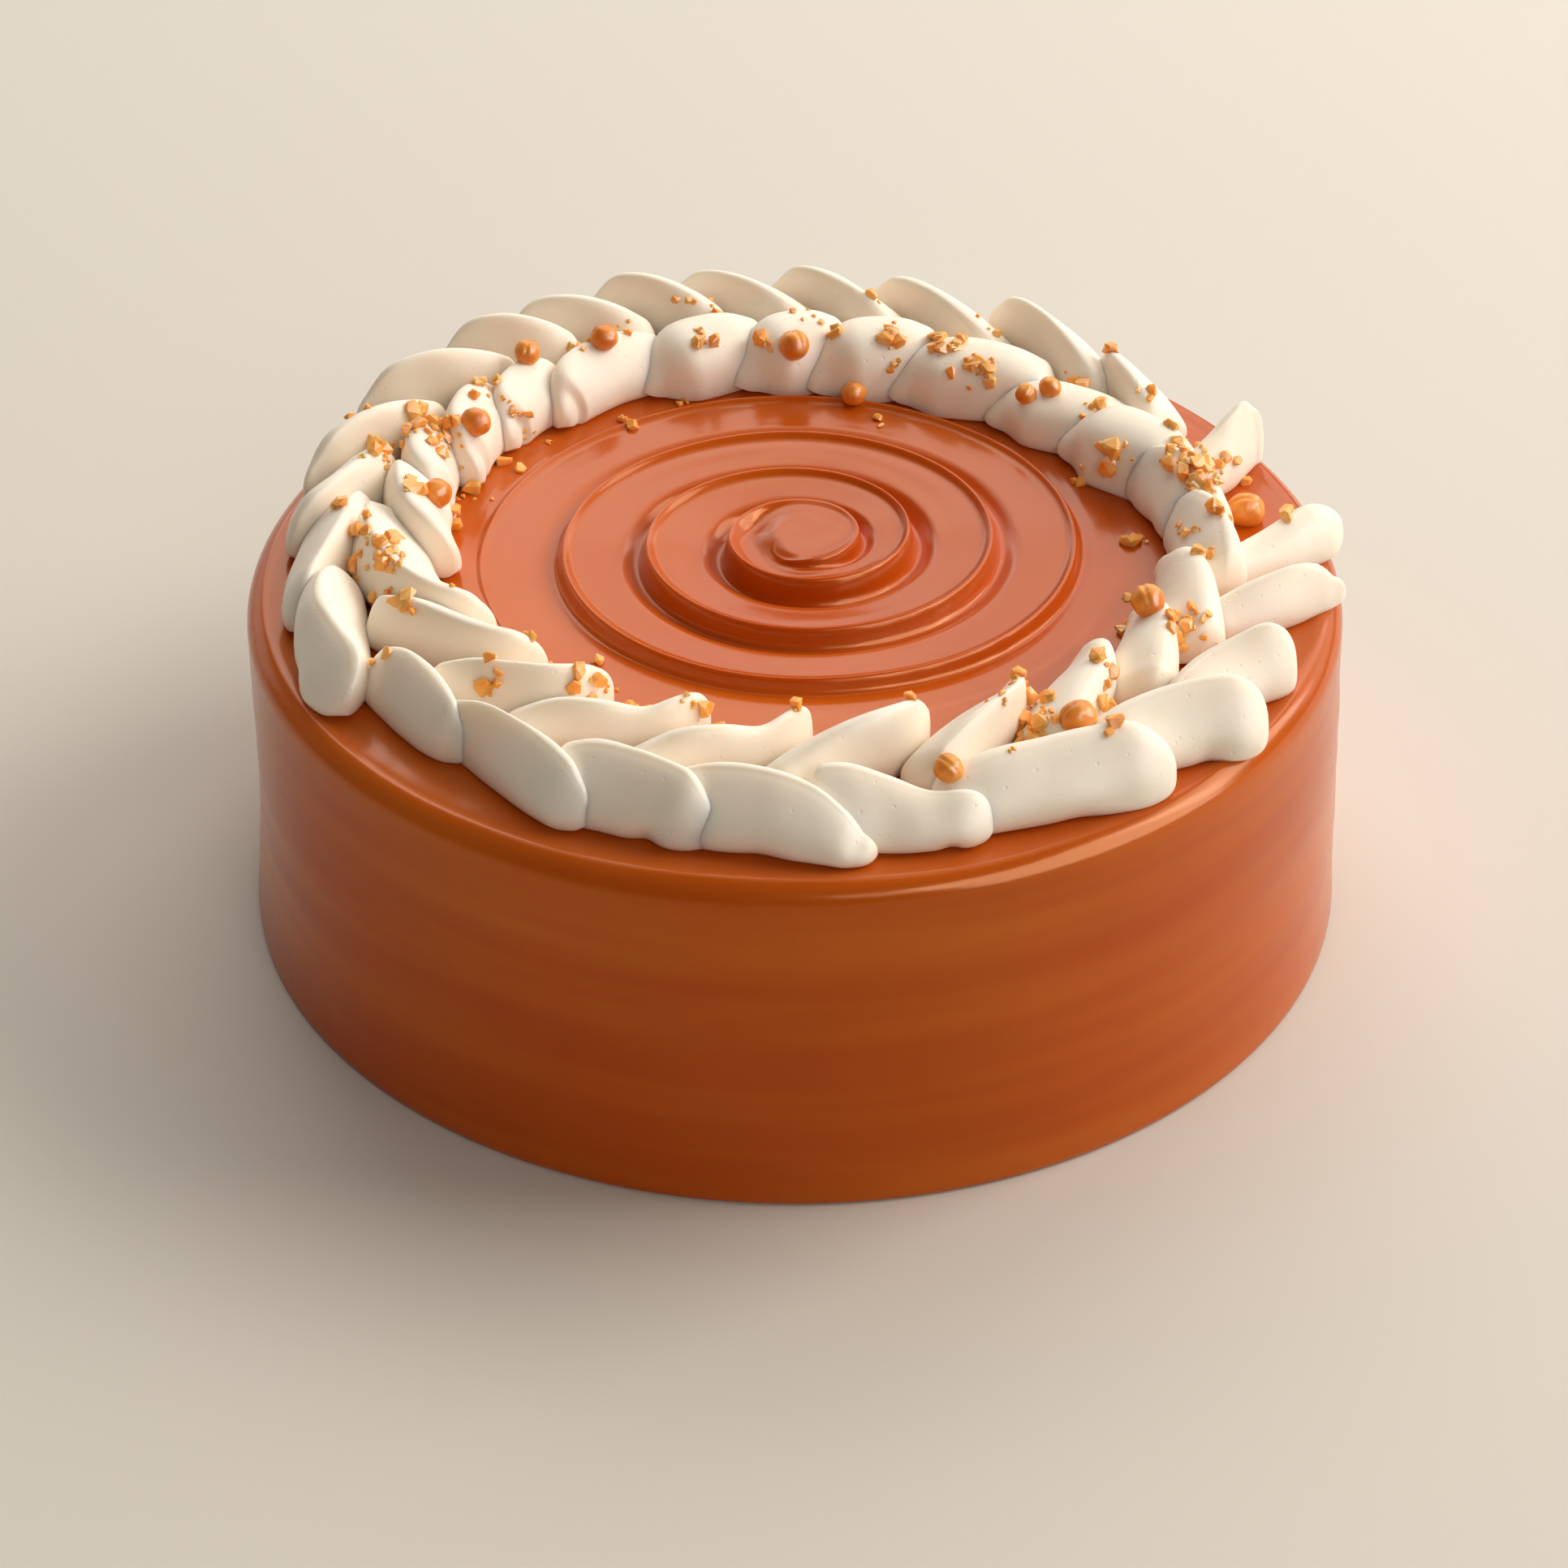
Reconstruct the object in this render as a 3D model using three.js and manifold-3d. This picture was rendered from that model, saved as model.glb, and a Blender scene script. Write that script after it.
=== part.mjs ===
// A butterscotch cake: a round cake under a glossy glaze with a spiral drawn in its top,
// a wreath of piped cream strokes in two rings, praline pearls between them, and praline crumbs.
// Millimetres, +Z up, origin in the middle of the flat base, the front towards -Y.
import * as THREE from 'three';
import { mergeVertices } from 'three/addons/utils/BufferGeometryUtils.js';
import Module from 'manifold-3d';

const wasm = await Module();
wasm.setup();

// The glazed cake
const CAKE_HEIGHT = 64.5;
const TOP_RADIUS = 100;
const BASE_RADIUS = 102.6;
const EDGE_ROUND = 6;
const FOOT_ROUND = 1.2;
const SIDE_WAVE = 0.35;
const SECTORS = 60;

// The spiral in the glaze: each turn has a crest at its outer edge, a wall outside it and a groove
const SWIRL_X = 1;
const SWIRL_Y = 8;
const SWIRL_PITCH = 15.4;
const SWIRL_FIRST = 4.8;
const SWIRL_CORE = 11;
const SWIRL_START = THREE.MathUtils.degToRad(-132);
const SWIRL_END = THREE.MathUtils.degToRad(1300);
const SWIRL_OUTER = 61;
const LAST_PITCH = 5;
const CREST_RISE = 4.2;
const CREST_LAST = 0.9;
const GROOVE_DEPTH = 2.2;
const CURL_RISE = 3.6;
const HOLLOW_RISE = 0.6;
const HOLLOW_FROM = 3.5;
const HOLLOW_SLOPE = 3.5;

// The wreath: both rings of strokes start on a braid line and sweep anticlockwise
const BRAID_RADIUS = 80;
const STROKE_HEIGHT = 12.5;
const STROKE_HALF_WIDTH = 6.2;
const RIDGE_HALF_WIDTH = 0.6;
const STROKE_LEAN = 2.6;
const TIP_LENGTH = 2.6;
const TIP_TURN = 0.2;

// From one of these angles to the other the outer strokes go outward early on
const FANS_FROM = THREE.MathUtils.degToRad(40);
const FANS_TO = THREE.MathUtils.degToRad(170);
const FAN_BEND = 1.2;
const BEND = 2;

// The outer strokes stand taller round this angle in degrees, up to this share of their height
const TALL_AT = 130;
const TALL_REACH = 42;
const TALL_MORE = 0.22;
const GAP = 0.3;

// Where a hand piped each stroke: its end in degrees round the cake and in mm from the cake's axis,
// and how many degrees it starts under the one before it
const OUTER_ENDS = [
  [5, 99, -1], [22.5, 93, -13], [47, 90, -8], [64, 97, 5], [79, 98, 5], [91, 98, 5],
  [103, 98, 5], [113, 98.5, 5], [124, 97.5, 5], [134, 96.5, 5], [148, 96, 5], [163, 94, 5],
  [176, 91, 5], [192, 90.5, 5], [210, 92, 3], [226, 84.5, 3], [245, 88.5, 4], [259, 87.5, 6],
  [276, 91, 6], [289, 89, 6], [310, 94, 4], [323, 97, 5], [334, 94, 3], [352, 98, -8],
];
const INNER_ENDS = [
  [8, 72, 5], [21, 70, 5], [37, 67, 5], [53, 67, 5], [71, 67, 5], [85, 67, 5], [97, 69, 5],
  [112, 72, 5], [129, 70, 5], [140, 71, 5], [152, 68.5, 5], [164, 68, 5], [180, 63.5, 5],
  [204, 61, 10], [219, 59.5, 5], [236, 57.5, 5], [252, 57, 5], [270, 59.5, 5], [290, 61, 5],
  [307, 60.5, 5], [325, 62.5, 5], [339, 65.5, 5], [355, 68, 5],
];

// Praline pearls: the angle in degrees, the distance from the cake's axis and the radius of each
const PEARLS = [
  [11.2, 86.2, 3.5], [47.2, 66.8, 2.1], [44.8, 70.5, 2.1], [78.2, 62.2, 2.4], [89, 66.8, 3],
  [118.2, 75.8, 2.6], [130, 78.8, 2.6], [148.8, 69.6, 2.8], [169.4, 66.8, 2.8], [287, 82.4, 2.5],
  [306.5, 78.8, 3.1], [334.5, 68.2, 3.1],
];
const PEARL_SUNK = 0.45;

// Praline crumbs, fused to the cream or the glaze they lie on. They were strewn in small groups:
// the angle in degrees, the distance from the cake's axis, how far they spread and how many
const CRUMB_GROUPS = [
  [17, 76, 7, 7], [42, 79, 5, 2], [60, 70, 4, 3], [99, 76, 7, 3], [119, 80, 5, 3], [121, 64, 4, 1],
  [138, 74, 5, 3], [153, 74, 6, 3], [161, 84, 5, 3], [186, 75, 6, 5], [206, 76, 5, 3], [228, 58, 6, 3],
  [258, 57, 6, 2], [304, 73, 6, 3], [335, 76, 5, 3], [358, 75, 5, 3], [30, 62, 3, 1], [354, 61, 3, 1],
];
const CRUMB_SIZE = 1.7;
const CRUMB_SUNK = 0.3;
const SEED = 20;

const TURN = 2 * Math.PI;

// A small repeatable random number generator, from 0 to 1
function randomFrom(seed) {
  let state = seed;
  return () => {
    state = (state * 48271) % 2147483647;
    return state / 2147483647;
  };
}

function smoothStep(low, high, value) {
  return THREE.MathUtils.smoothstep(value, low, high);
}

// Closed meshes and solids

function geometryOf(points, faces) {
  const geometry = new THREE.BufferGeometry();
  geometry.setAttribute('position', new THREE.Float32BufferAttribute(points.flat(), 3));
  geometry.setIndex(faces.flat());
  return geometry;
}

function solidOf(source) {
  const geometry = source.clone();
  geometry.deleteAttribute('normal');
  geometry.deleteAttribute('uv');
  const merged = mergeVertices(geometry);
  return new wasm.Manifold(new wasm.Mesh({
    numProp: 3,
    vertProperties: new Float32Array(merged.attributes.position.array),
    triVerts: new Uint32Array(merged.index.array),
  }));
}

function geometryOfSolid(solid) {
  const mesh = solid.getMesh();
  const geometry = new THREE.BufferGeometry();
  geometry.setAttribute('position', new THREE.BufferAttribute(mesh.vertProperties, 3));
  geometry.setIndex(new THREE.BufferAttribute(mesh.triVerts, 1));
  return geometry;
}

// Of a solid that a cut left in several pieces, the largest
function largestPiece(solid) {
  const pieces = solid.decompose();
  return pieces.reduce((best, piece) => (piece.volume() > best.volume() ? piece : best));
}

// The spiral's crest: its distance from the swirl's centre at an unwrapped angle.
// It starts as a tight round core, and past its end only the ground beside the last crest is left.
function crestRadius(angle) {
  const drawn = SWIRL_FIRST + SWIRL_PITCH * Math.min(angle, SWIRL_END) / TURN;
  const past = LAST_PITCH * Math.max(angle - SWIRL_END, 0) / TURN;
  const opening = 1 - 0.33 * Math.exp((SWIRL_START - angle) / 0.7);
  return (drawn + Math.log(1 + Math.exp(SWIRL_CORE - drawn))) * opening + past;
}

// The crest fades in where the spatula was set down, and out where it was lifted
function crestFade(angle) {
  return smoothStep(SWIRL_START, SWIRL_START + 1.2, angle)
    * (1 - smoothStep(SWIRL_END - 2.2, SWIRL_END, angle));
}

// Inside the first turn: a flat curl where the spatula was set down, and a hollow to its left
// that narrows towards the front, where the first crest begins
function startHeight(angle, radius) {
  const degrees = THREE.MathUtils.euclideanModulo(THREE.MathUtils.radToDeg(angle), 360);
  const from = THREE.MathUtils.lerp(HOLLOW_FROM, SWIRL_CORE, smoothStep(190, 265, degrees));
  const hollow = smoothStep(85, 165, degrees) * smoothStep(from, from + HOLLOW_SLOPE, radius);
  return THREE.MathUtils.lerp(CURL_RISE, HOLLOW_RISE, hollow);
}

// The slope from the hollow up to the crest round it
function rimHeight(crest, across) {
  return crest * smoothStep(0.62, 1, across);
}

function crestHeight(angle) {
  const radius = crestRadius(angle);
  const full = THREE.MathUtils.lerp(CREST_RISE, CREST_LAST, Math.min(radius / SWIRL_OUTER, 1));
  const fade = crestFade(angle);
  if (fade === 1 || angle > SWIRL_START + TURN) return full * fade;
  const round = angle + TURN;
  const rim = rimHeight(crestHeight(round), radius / crestRadius(round));
  const ground = Math.max(startHeight(angle, radius), rim);
  return THREE.MathUtils.lerp(ground, full, fade);
}

function grooveDepth(angle) {
  const out = Math.min(crestRadius(angle) / SWIRL_OUTER, 1);
  return GROOVE_DEPTH * (1 - 0.7 * out * out);
}

// Across one turn: the foot of the inner wall, the curve up from the groove, the terrace, the crest
const TURN_ROWS = [
  { across: 0.13, rise: 0 },
  { across: 0.34, rise: 0.62 },
  { across: 0.92, rise: 0.86 },
  { across: 1, rise: 1 },
];

// Inside the first turn the rows only follow the curl and the hollow
const START_ROWS = [0.25, 0.45, 0.65, 0.85, 1].map((across) => ({ across, rise: 1 }));

// Height over the top's level at one row of the turn that ends at this angle
function swirlHeight(angle, row, radius) {
  const crest = crestHeight(angle);
  const start = Math.max(startHeight(angle, radius), rimHeight(crest, radius / crestRadius(angle)));
  if (angle - TURN < SWIRL_START) return start;
  const fade = crestFade(angle - TURN);
  const cut = THREE.MathUtils.lerp(-grooveDepth(angle), crest, row.rise);
  return THREE.MathUtils.lerp(angle < SWIRL_START + 2 * TURN ? start : crest * row.across, cut, fade);
}

function sideRadius(z, angle) {
  const down = 1 - z / CAKE_HEIGHT;
  const flare = THREE.MathUtils.lerp(TOP_RADIUS, BASE_RADIUS, down * down);
  const wave = Math.sin(3 * angle + 0.6 + z / 30) + 0.6 * Math.sin(5 * angle + z / 14);
  return flare + SIDE_WAVE * wave * Math.sin(Math.PI * (1 - down));
}

// One line of points from the swirl's centre over the rim and down the side to the base
function radialLine(sector) {
  const angle = TURN * sector / SECTORS;
  const across = new THREE.Vector2(Math.cos(angle), Math.sin(angle));
  const line = [];
  const firstTurn = Math.ceil((SWIRL_START - angle) / TURN);
  const lastTurn = Math.floor((SWIRL_END - angle) / TURN) + 1;
  for (let turn = firstTurn; turn <= lastTurn; turn += 1) {
    const drawn = angle + TURN * turn;
    const isFirst = drawn - TURN < SWIRL_START;
    const inner = isFirst ? 0 : crestRadius(drawn - TURN);
    const outer = crestRadius(drawn);
    for (const row of isFirst ? START_ROWS : TURN_ROWS) {
      const radius = THREE.MathUtils.lerp(inner, outer, row.across);
      const x = SWIRL_X + radius * across.x;
      const y = SWIRL_Y + radius * across.y;
      const z = CAKE_HEIGHT + swirlHeight(drawn, row, radius);
      line.push({ order: turn + row.across, point: [x, y, z] });
    }
  }
  // The flat ring round the swirl, then the rounded edge, the side and the foot
  const flat = [TOP_RADIUS - 21, TOP_RADIUS - EDGE_ROUND];
  const rings = flat.map((radius) => ({ radius, z: CAKE_HEIGHT }));
  for (const tilt of [30, 60, 90]) {
    const round = THREE.MathUtils.degToRad(tilt);
    const z = CAKE_HEIGHT - EDGE_ROUND * (1 - Math.cos(round));
    const shrink = EDGE_ROUND * (1 - Math.sin(round));
    rings.push({ radius: sideRadius(z, angle) - shrink, z });
  }
  for (const z of [CAKE_HEIGHT * 0.64, CAKE_HEIGHT * 0.34, FOOT_ROUND]) {
    rings.push({ radius: sideRadius(z, angle), z });
  }
  rings.push({ radius: BASE_RADIUS - FOOT_ROUND, z: 0 });
  rings.forEach(({ radius, z }, index) => {
    line.push({ order: 1000 + index, point: [radius * across.x, radius * across.y, z] });
  });
  return line;
}

// Neighbouring lines are joined in the order of their rows, from the centre out
function cakeGeometry() {
  const top = 0;
  const bottom = 1;
  const points = [[SWIRL_X, SWIRL_Y, CAKE_HEIGHT + CURL_RISE], [0, 0, 0]];
  const faces = [];
  const lines = [];
  for (let sector = 0; sector < SECTORS; sector += 1) {
    lines.push(radialLine(sector).map(({ order, point }) => {
      points.push(point);
      return { order, index: points.length - 1 };
    }));
  }
  lines.forEach((line, sector) => {
    const isSeam = sector === SECTORS - 1;
    // Over the seam the spiral has gone one turn further
    const next = lines[(sector + 1) % SECTORS].map(({ order, index }) => (
      { order: isSeam && order < 1000 ? order - 1 : order, index }
    ));
    let here = top;
    let there = top;
    let i = 0;
    let j = 0;
    while (i < line.length || j < next.length) {
      const a = i < line.length ? line[i].order : Infinity;
      const b = j < next.length ? next[j].order : Infinity;
      if (a <= b) {
        faces.push([here, line[i].index, there]);
        here = line[i].index;
        i += 1;
      } else {
        faces.push([here, next[j].index, there]);
        there = next[j].index;
        j += 1;
      }
    }
    faces.push([here, bottom, there]);
  });
  return geometryOf(points, faces.filter(([a, b, c]) => a !== b && b !== c && c !== a));
}

// The wreath's strokes

// How far along each station is, how high its ridge stands and how wide its body is there
const STATIONS = [
  { along: 0, high: 0.7, wide: 1 },
  { along: 0.25, high: 0.96, wide: 1.08 },
  { along: 0.5, high: 1, wide: 1.04 },
  { along: 0.72, high: 0.98, wide: 0.96 },
  { along: 0.88, high: 0.88, wide: 0.82 },
  { along: 1, high: 0.7, wide: 0.52 },
];

function strokesOf(ends, ring, random) {
  return ends.map(([degrees, reach, overlap], index) => {
    const [before] = ends[(index + ends.length - 1) % ends.length];
    const spacing = THREE.MathUtils.euclideanModulo(degrees - before, 360);
    const isOuter = ring === 'outer';
    const taller = isOuter ? TALL_MORE * Math.exp(-(((degrees - TALL_AT) / TALL_REACH) ** 2)) : 0;
    return {
      name: `${ring}_stroke_${String(index + 1).padStart(2, '0')}`,
      isOuter,
      end: THREE.MathUtils.degToRad(degrees),
      sweep: THREE.MathUtils.degToRad(spacing + overlap),
      reach,
      high: STROKE_HEIGHT * (0.94 + 0.12 * random() + taller),
      lean: isOuter ? STROKE_LEAN : -STROKE_LEAN,
    };
  });
}

function strokePoint(stroke, along) {
  let swept = along;
  let out = 0.62 * (1 - (1 - along) ** 3) + 0.38 * along ** 5;
  let from = BRAID_RADIUS - 2;
  if (stroke.isOuter) {
    swept = THREE.MathUtils.lerp(along, Math.sin(along * Math.PI / 2), TIP_TURN);
    const isFan = stroke.end > FANS_FROM && stroke.end < FANS_TO;
    const straight = Math.max(along, 0) ** (isFan ? FAN_BEND : BEND);
    out = THREE.MathUtils.lerp(straight, 1 - Math.cos(along * Math.PI / 2), TIP_TURN);
    from = BRAID_RADIUS + 3;
  }
  const angle = stroke.end - stroke.sweep * (1 - swept);
  const radius = THREE.MathUtils.lerp(from, stroke.reach, out);
  return new THREE.Vector2(radius * Math.cos(angle), radius * Math.sin(angle));
}

// A stroke is an upright blade: a rounded belly below, a thin ridge above, a rounded end
function strokeGeometry(stroke, grow = 0) {
  const points = [];
  const faces = [];
  const base = CAKE_HEIGHT + GAP;
  STATIONS.forEach(({ along, high, wide }, station) => {
    const centre = strokePoint(stroke, along);
    const ahead = strokePoint(stroke, along + 0.01).sub(strokePoint(stroke, along - 0.01)).normalize();
    const left = new THREE.Vector2(-ahead.y, ahead.x);
    if (station === 0) centre.addScaledVector(ahead, -grow);
    const height = stroke.high * high;
    const half = STROKE_HALF_WIDTH * wide;
    const outline = [
      [-0.7 * half, 0, -0.5],
      [-half, 0.34 * height, 0],
      [-RIDGE_HALF_WIDTH, height, 1],
      [RIDGE_HALF_WIDTH, height, 1],
      [half, 0.34 * height, 0],
      [0.7 * half, 0, -0.5],
    ];
    outline.forEach(([side, up, lift]) => {
      const lean = stroke.lean * up / stroke.high;
      const place = centre.clone().addScaledVector(left, side + Math.sign(side) * grow + lean);
      points.push([place.x, place.y, base + up + lift * grow]);
    });
  });
  const count = 6;
  const stations = STATIONS.length;
  for (let station = 0; station < stations - 1; station += 1) {
    for (let k = 0; k < count; k += 1) {
      const a = station * count + k;
      const b = station * count + (k + 1) % count;
      faces.push([a, b + count, b], [a, a + count, b + count]);
    }
  }
  for (let k = 1; k < count - 1; k += 1) faces.push([0, k, k + 1]);
  // The round end closes on one point just past the last station
  const tip = strokePoint(stroke, 1);
  const ahead = tip.clone().sub(strokePoint(stroke, 0.98)).normalize();
  tip.addScaledVector(ahead, TIP_LENGTH + grow);
  points.push([tip.x, tip.y, base + 0.22 * stroke.high]);
  const last = (stations - 1) * count;
  for (let k = 0; k < count; k += 1) faces.push([last + k, stations * count, last + (k + 1) % count]);
  return geometryOf(points, faces);
}

const glaze = new THREE.MeshStandardMaterial({ color: 0xb4602f, roughness: 0.22, metalness: 0 });
const cream = new THREE.MeshStandardMaterial({ color: 0xf3e7d3, roughness: 0.6, metalness: 0 });
const praline = new THREE.MeshStandardMaterial({ color: 0xc47a2c, roughness: 0.35, metalness: 0 });

const cake = new THREE.Group();

function addMesh(name, geometry, material) {
  const mesh = new THREE.Mesh(geometry, material.clone());
  mesh.name = name;
  cake.add(mesh);
  return mesh;
}

const random = randomFrom(SEED);
const strokes = [
  ...strokesOf(OUTER_ENDS, 'outer', random),
  ...strokesOf(INNER_ENDS, 'inner', random),
];

// Where two strokes cross, one covers the other: outer over inner, and each over the next one round
function covers(upper, lower) {
  if (upper.isOuter !== lower.isOuter) return upper.isOuter;
  const ahead = THREE.MathUtils.euclideanModulo(lower.end - upper.end, TURN);
  return ahead > 0 && ahead < Math.PI;
}

function boxOf(solid) {
  const { min, max } = solid.boundingBox();
  return new THREE.Box3(new THREE.Vector3(...min), new THREE.Vector3(...max));
}

for (const stroke of strokes) {
  stroke.whole = solidOf(strokeGeometry(stroke));
  stroke.grown = solidOf(strokeGeometry(stroke, GAP));
  stroke.box = boxOf(stroke.grown);
}

// Every node is kept as a solid until the pearls and crumbs are set on it
const nodes = [{ name: 'glazed_cake', solid: solidOf(cakeGeometry()), material: glaze }];
for (const stroke of strokes) {
  let solid = stroke.whole;
  for (const other of strokes) {
    if (other !== stroke && other.box.intersectsBox(stroke.box) && covers(other, stroke)) {
      solid = solid.subtract(other.grown);
    }
  }
  nodes.push({ name: stroke.name, solid: largestPiece(solid), material: cream });
}

// The node that a vertical line meets first from above, and where
function topAt(x, y) {
  const ray = new THREE.Raycaster(new THREE.Vector3(x, y, 2 * CAKE_HEIGHT), new THREE.Vector3(0, 0, -1));
  const found = nodes.map((node) => {
    node.probe ??= new THREE.Mesh(geometryOfSolid(node.solid));
    return { node, hit: ray.intersectObject(node.probe)[0] };
  }).filter(({ hit }) => hit);
  return found.reduce((best, next) => (next.hit.point.z > best.hit.point.z ? next : best));
}

function ballSolid(centre, radius) {
  const ball = new THREE.IcosahedronGeometry(radius, 1);
  ball.translate(centre.x, centre.y, centre.z);
  return solidOf(ball);
}

// Each pearl lies in a socket pressed into the cream
const pearls = PEARLS.map(([degrees, distance, radius], index) => {
  const angle = THREE.MathUtils.degToRad(degrees);
  const x = distance * Math.cos(angle);
  const y = distance * Math.sin(angle);
  const centre = topAt(x, y).hit.point.add(new THREE.Vector3(0, 0, radius * (1 - PEARL_SUNK)));
  return { name: `praline_pearl_${String(index + 1).padStart(2, '0')}`, centre, radius };
});
for (const { centre, radius } of pearls) {
  const socket = ballSolid(centre, radius + GAP);
  const box = boxOf(socket);
  for (const node of nodes) {
    if (boxOf(node.solid).intersectsBox(box)) node.solid = largestPiece(node.solid.subtract(socket));
    node.probe = undefined;
  }
}
for (const { name, centre, radius } of pearls) {
  nodes.push({ name, solid: ballSolid(centre, radius), material: praline });
}

// A crumb is an irregular octahedron, flattened and turned at random
function crumbGeometry(centre, size) {
  const crumb = new THREE.OctahedronGeometry(size);
  crumb.scale(0.8 + 0.4 * random(), 0.8 + 0.4 * random(), 0.55 + 0.3 * random());
  crumb.rotateX(random() - 0.5);
  crumb.rotateZ(TURN * random());
  crumb.translate(centre.x, centre.y, centre.z);
  return crumb;
}

// A crumb goes where it lies on cream or glaze and touches nothing else
function addCrumb(x, y) {
  const size = CRUMB_SIZE * (0.75 + 0.5 * random());
  const { node, hit } = topAt(x, y);
  const centre = hit.point.add(new THREE.Vector3(0, 0, size * (0.5 - CRUMB_SUNK)));
  const crumb = solidOf(crumbGeometry(centre, size));
  const room = ballSolid(centre, 1.25 * size + GAP);
  const box = boxOf(room);
  const isClear = node.material !== praline && nodes.every((other) => (
    other === node || !boxOf(other.solid).intersectsBox(box) || other.solid.intersect(room).volume() === 0
  ));
  if (isClear) {
    node.solid = largestPiece(node.solid.add(crumb));
    node.probe = undefined;
  }
  return isClear;
}

for (const [degrees, distance, spread, count] of CRUMB_GROUPS) {
  const angle = THREE.MathUtils.degToRad(degrees);
  let placed = 0;
  for (let attempt = 0; attempt < 20 * count && placed < count; attempt += 1) {
    const x = distance * Math.cos(angle) + spread * (random() + random() - 1);
    const y = distance * Math.sin(angle) + spread * (random() + random() - 1);
    if (addCrumb(x, y)) placed += 1;
  }
}

for (const { name, solid, material } of nodes) addMesh(name, geometryOfSolid(solid), material);

export default cake;
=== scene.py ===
"""A butterscotch cake: a glazed cake with a spiral in its top, a wreath of piped cream strokes in two
rings, praline pearls lying in the cream, and praline crumbs on the cream and on the glaze."""

import math

import bmesh
import bpy
from bpy.props import FloatProperty, FloatVectorProperty, PointerProperty
from mathutils import Matrix, Vector, noise
from mathutils.bvhtree import BVHTree


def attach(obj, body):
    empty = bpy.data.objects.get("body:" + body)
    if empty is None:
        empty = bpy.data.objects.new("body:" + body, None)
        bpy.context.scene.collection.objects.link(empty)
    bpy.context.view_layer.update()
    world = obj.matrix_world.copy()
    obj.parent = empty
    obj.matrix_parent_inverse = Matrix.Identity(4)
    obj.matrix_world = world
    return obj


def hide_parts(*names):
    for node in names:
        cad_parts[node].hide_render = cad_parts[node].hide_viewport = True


bl_info = {
    "name": "Butterscotch Cake",
    "version": (1, 0, 0),
    "blender": (4, 5, 0),
    "location": "3D View > Sidebar > Cake",
    "description": "Makes a glazed cake with a cream wreath, praline pearls and praline crumbs",
    "category": "Add Mesh",
}

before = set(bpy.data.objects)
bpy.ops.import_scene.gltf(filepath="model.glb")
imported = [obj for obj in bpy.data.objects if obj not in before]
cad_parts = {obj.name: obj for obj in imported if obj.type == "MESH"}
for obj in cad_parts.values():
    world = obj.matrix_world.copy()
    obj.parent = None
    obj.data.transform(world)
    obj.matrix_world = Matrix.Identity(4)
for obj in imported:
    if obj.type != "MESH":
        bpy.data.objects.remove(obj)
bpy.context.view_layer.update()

MM = 0.001
TURN = 2 * math.pi

# For the random numbers
SEED = 20
RANDOM_STEP = 48271
RANDOM_SPAN = 2147483647

# The spiral in the glaze, in mm: each turn has a crest at its outer edge and a groove at its foot.
# Its angles in radians go on growing from turn to turn.
SWIRL_X = 1
SWIRL_Y = 8
SWIRL_PITCH = 15.4
SWIRL_FIRST = 4.8
SWIRL_CORE = 11
SWIRL_START = math.radians(-132)
SWIRL_END = math.radians(1300)
SWIRL_OUTER = 61
LAST_PITCH = 5

# Near its start the crest curls in towards the centre: by this share, which dies away over this angle
OPEN_SHARE = 0.33
OPEN_TURN = 0.7

# The crest fades in and out over these angles, and has this height at its end
FADE_IN = 1.8
FADE_OUT = 2.2
CREST_LAST = 0.9
LIP_WIDTH = 0.8

# Inside the first turn there is a curl, and to its left a hollow, which opens between the first two
# angles in degrees and closes between the other two
CURL_RISE = 3.6
HOLLOW_RISE = 1.9
HOLLOW_FROM = 3.5
HOLLOW_SLOPE = 6
HOLLOW_OPENS = (85, 165)
HOLLOW_CLOSES = (210, 320)
CORE_GROUND = 1.4
CORE_RIM_FROM = 0.62

# Across a turn, as shares of its width: the wall ends, the groove is darkest between the middle two
# of four places, and then the foot, the terrace and the brow each rise by a share of the whole
# height, from one place to another. The last groove is shallower by GROOVE_FADE.
WALL_END = 0.12
GROOVE_DARK = (0.02, 0.12, 0.14, 0.34)
TERRACE_PARTS = [(0.62, 0.11, 0.37), (0.24, 0.28, 0.94), (0.14, 0.86, 1)]
GROOVE_FADE = 0.7

# How a hand left the glaze uneven: a slow wave of the top and streaks along the spiral, in mm
HAND_WAVE = 0.35
HAND_WAVE_LENGTH = 34
STREAK_RISE = 0.1
STREAKS_ALONG = 1.4
STREAKS_ACROSS = 5.5
STREAKS_FROM = 12

# The side: slow waves, fine marks of dragging round it, and the rounding of its foot, in mm
SIDE_WAVE = 0.35
DRAG_DEPTH = 0.22
DRAG_HEIGHT = 5
DRAGS_ROUND = 1.6
FOOT_ROUND = 1.2

# The fine rim where the spatula turned over the edge, broad and uneven round one angle in radians
RIM_RISE = 0.45
RIM_UNEVEN = 0.25
RIM_WIDTH = 1.5
RIMS_ROUND = 3.2
BROAD_AT = math.radians(-48)
BROAD_REACH = 0.7
BROAD_UNEVEN = 0.5
BROAD_WIDTH = 0.6

# Each kind of unevenness takes its own slice of the noise
TOP_SLICE = 3.1
RIM_SLICE = 5.5
STREAK_SLICE = 7.7

# The mesh of the cake: its lines, and along each line the rows of a turn and the rings further out
CAKE_SECTORS = 300
ROWS_A_TURN = 24
ROW_CROWDING = 0.075
TOP_RINGS = 14
TOP_RINGS_WIDTH = 21
EDGE_RINGS = 9
SIDE_RINGS = 28
RING_ORDER = 1000
SAME_ROW = 1e-6

# The wreath, in mm. Both rings of strokes start beside a braid line and sweep anticlockwise. Outer
# strokes of some shapes point straight out, and start inside it.
BRAID_RADIUS = 80
OUTER_START = 3
INSIDE_START = -3
INNER_START = -2
INSIDE_SHAPES = ("paddle", "spike", "slim")
INNER_EARLY = 0.62

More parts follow.
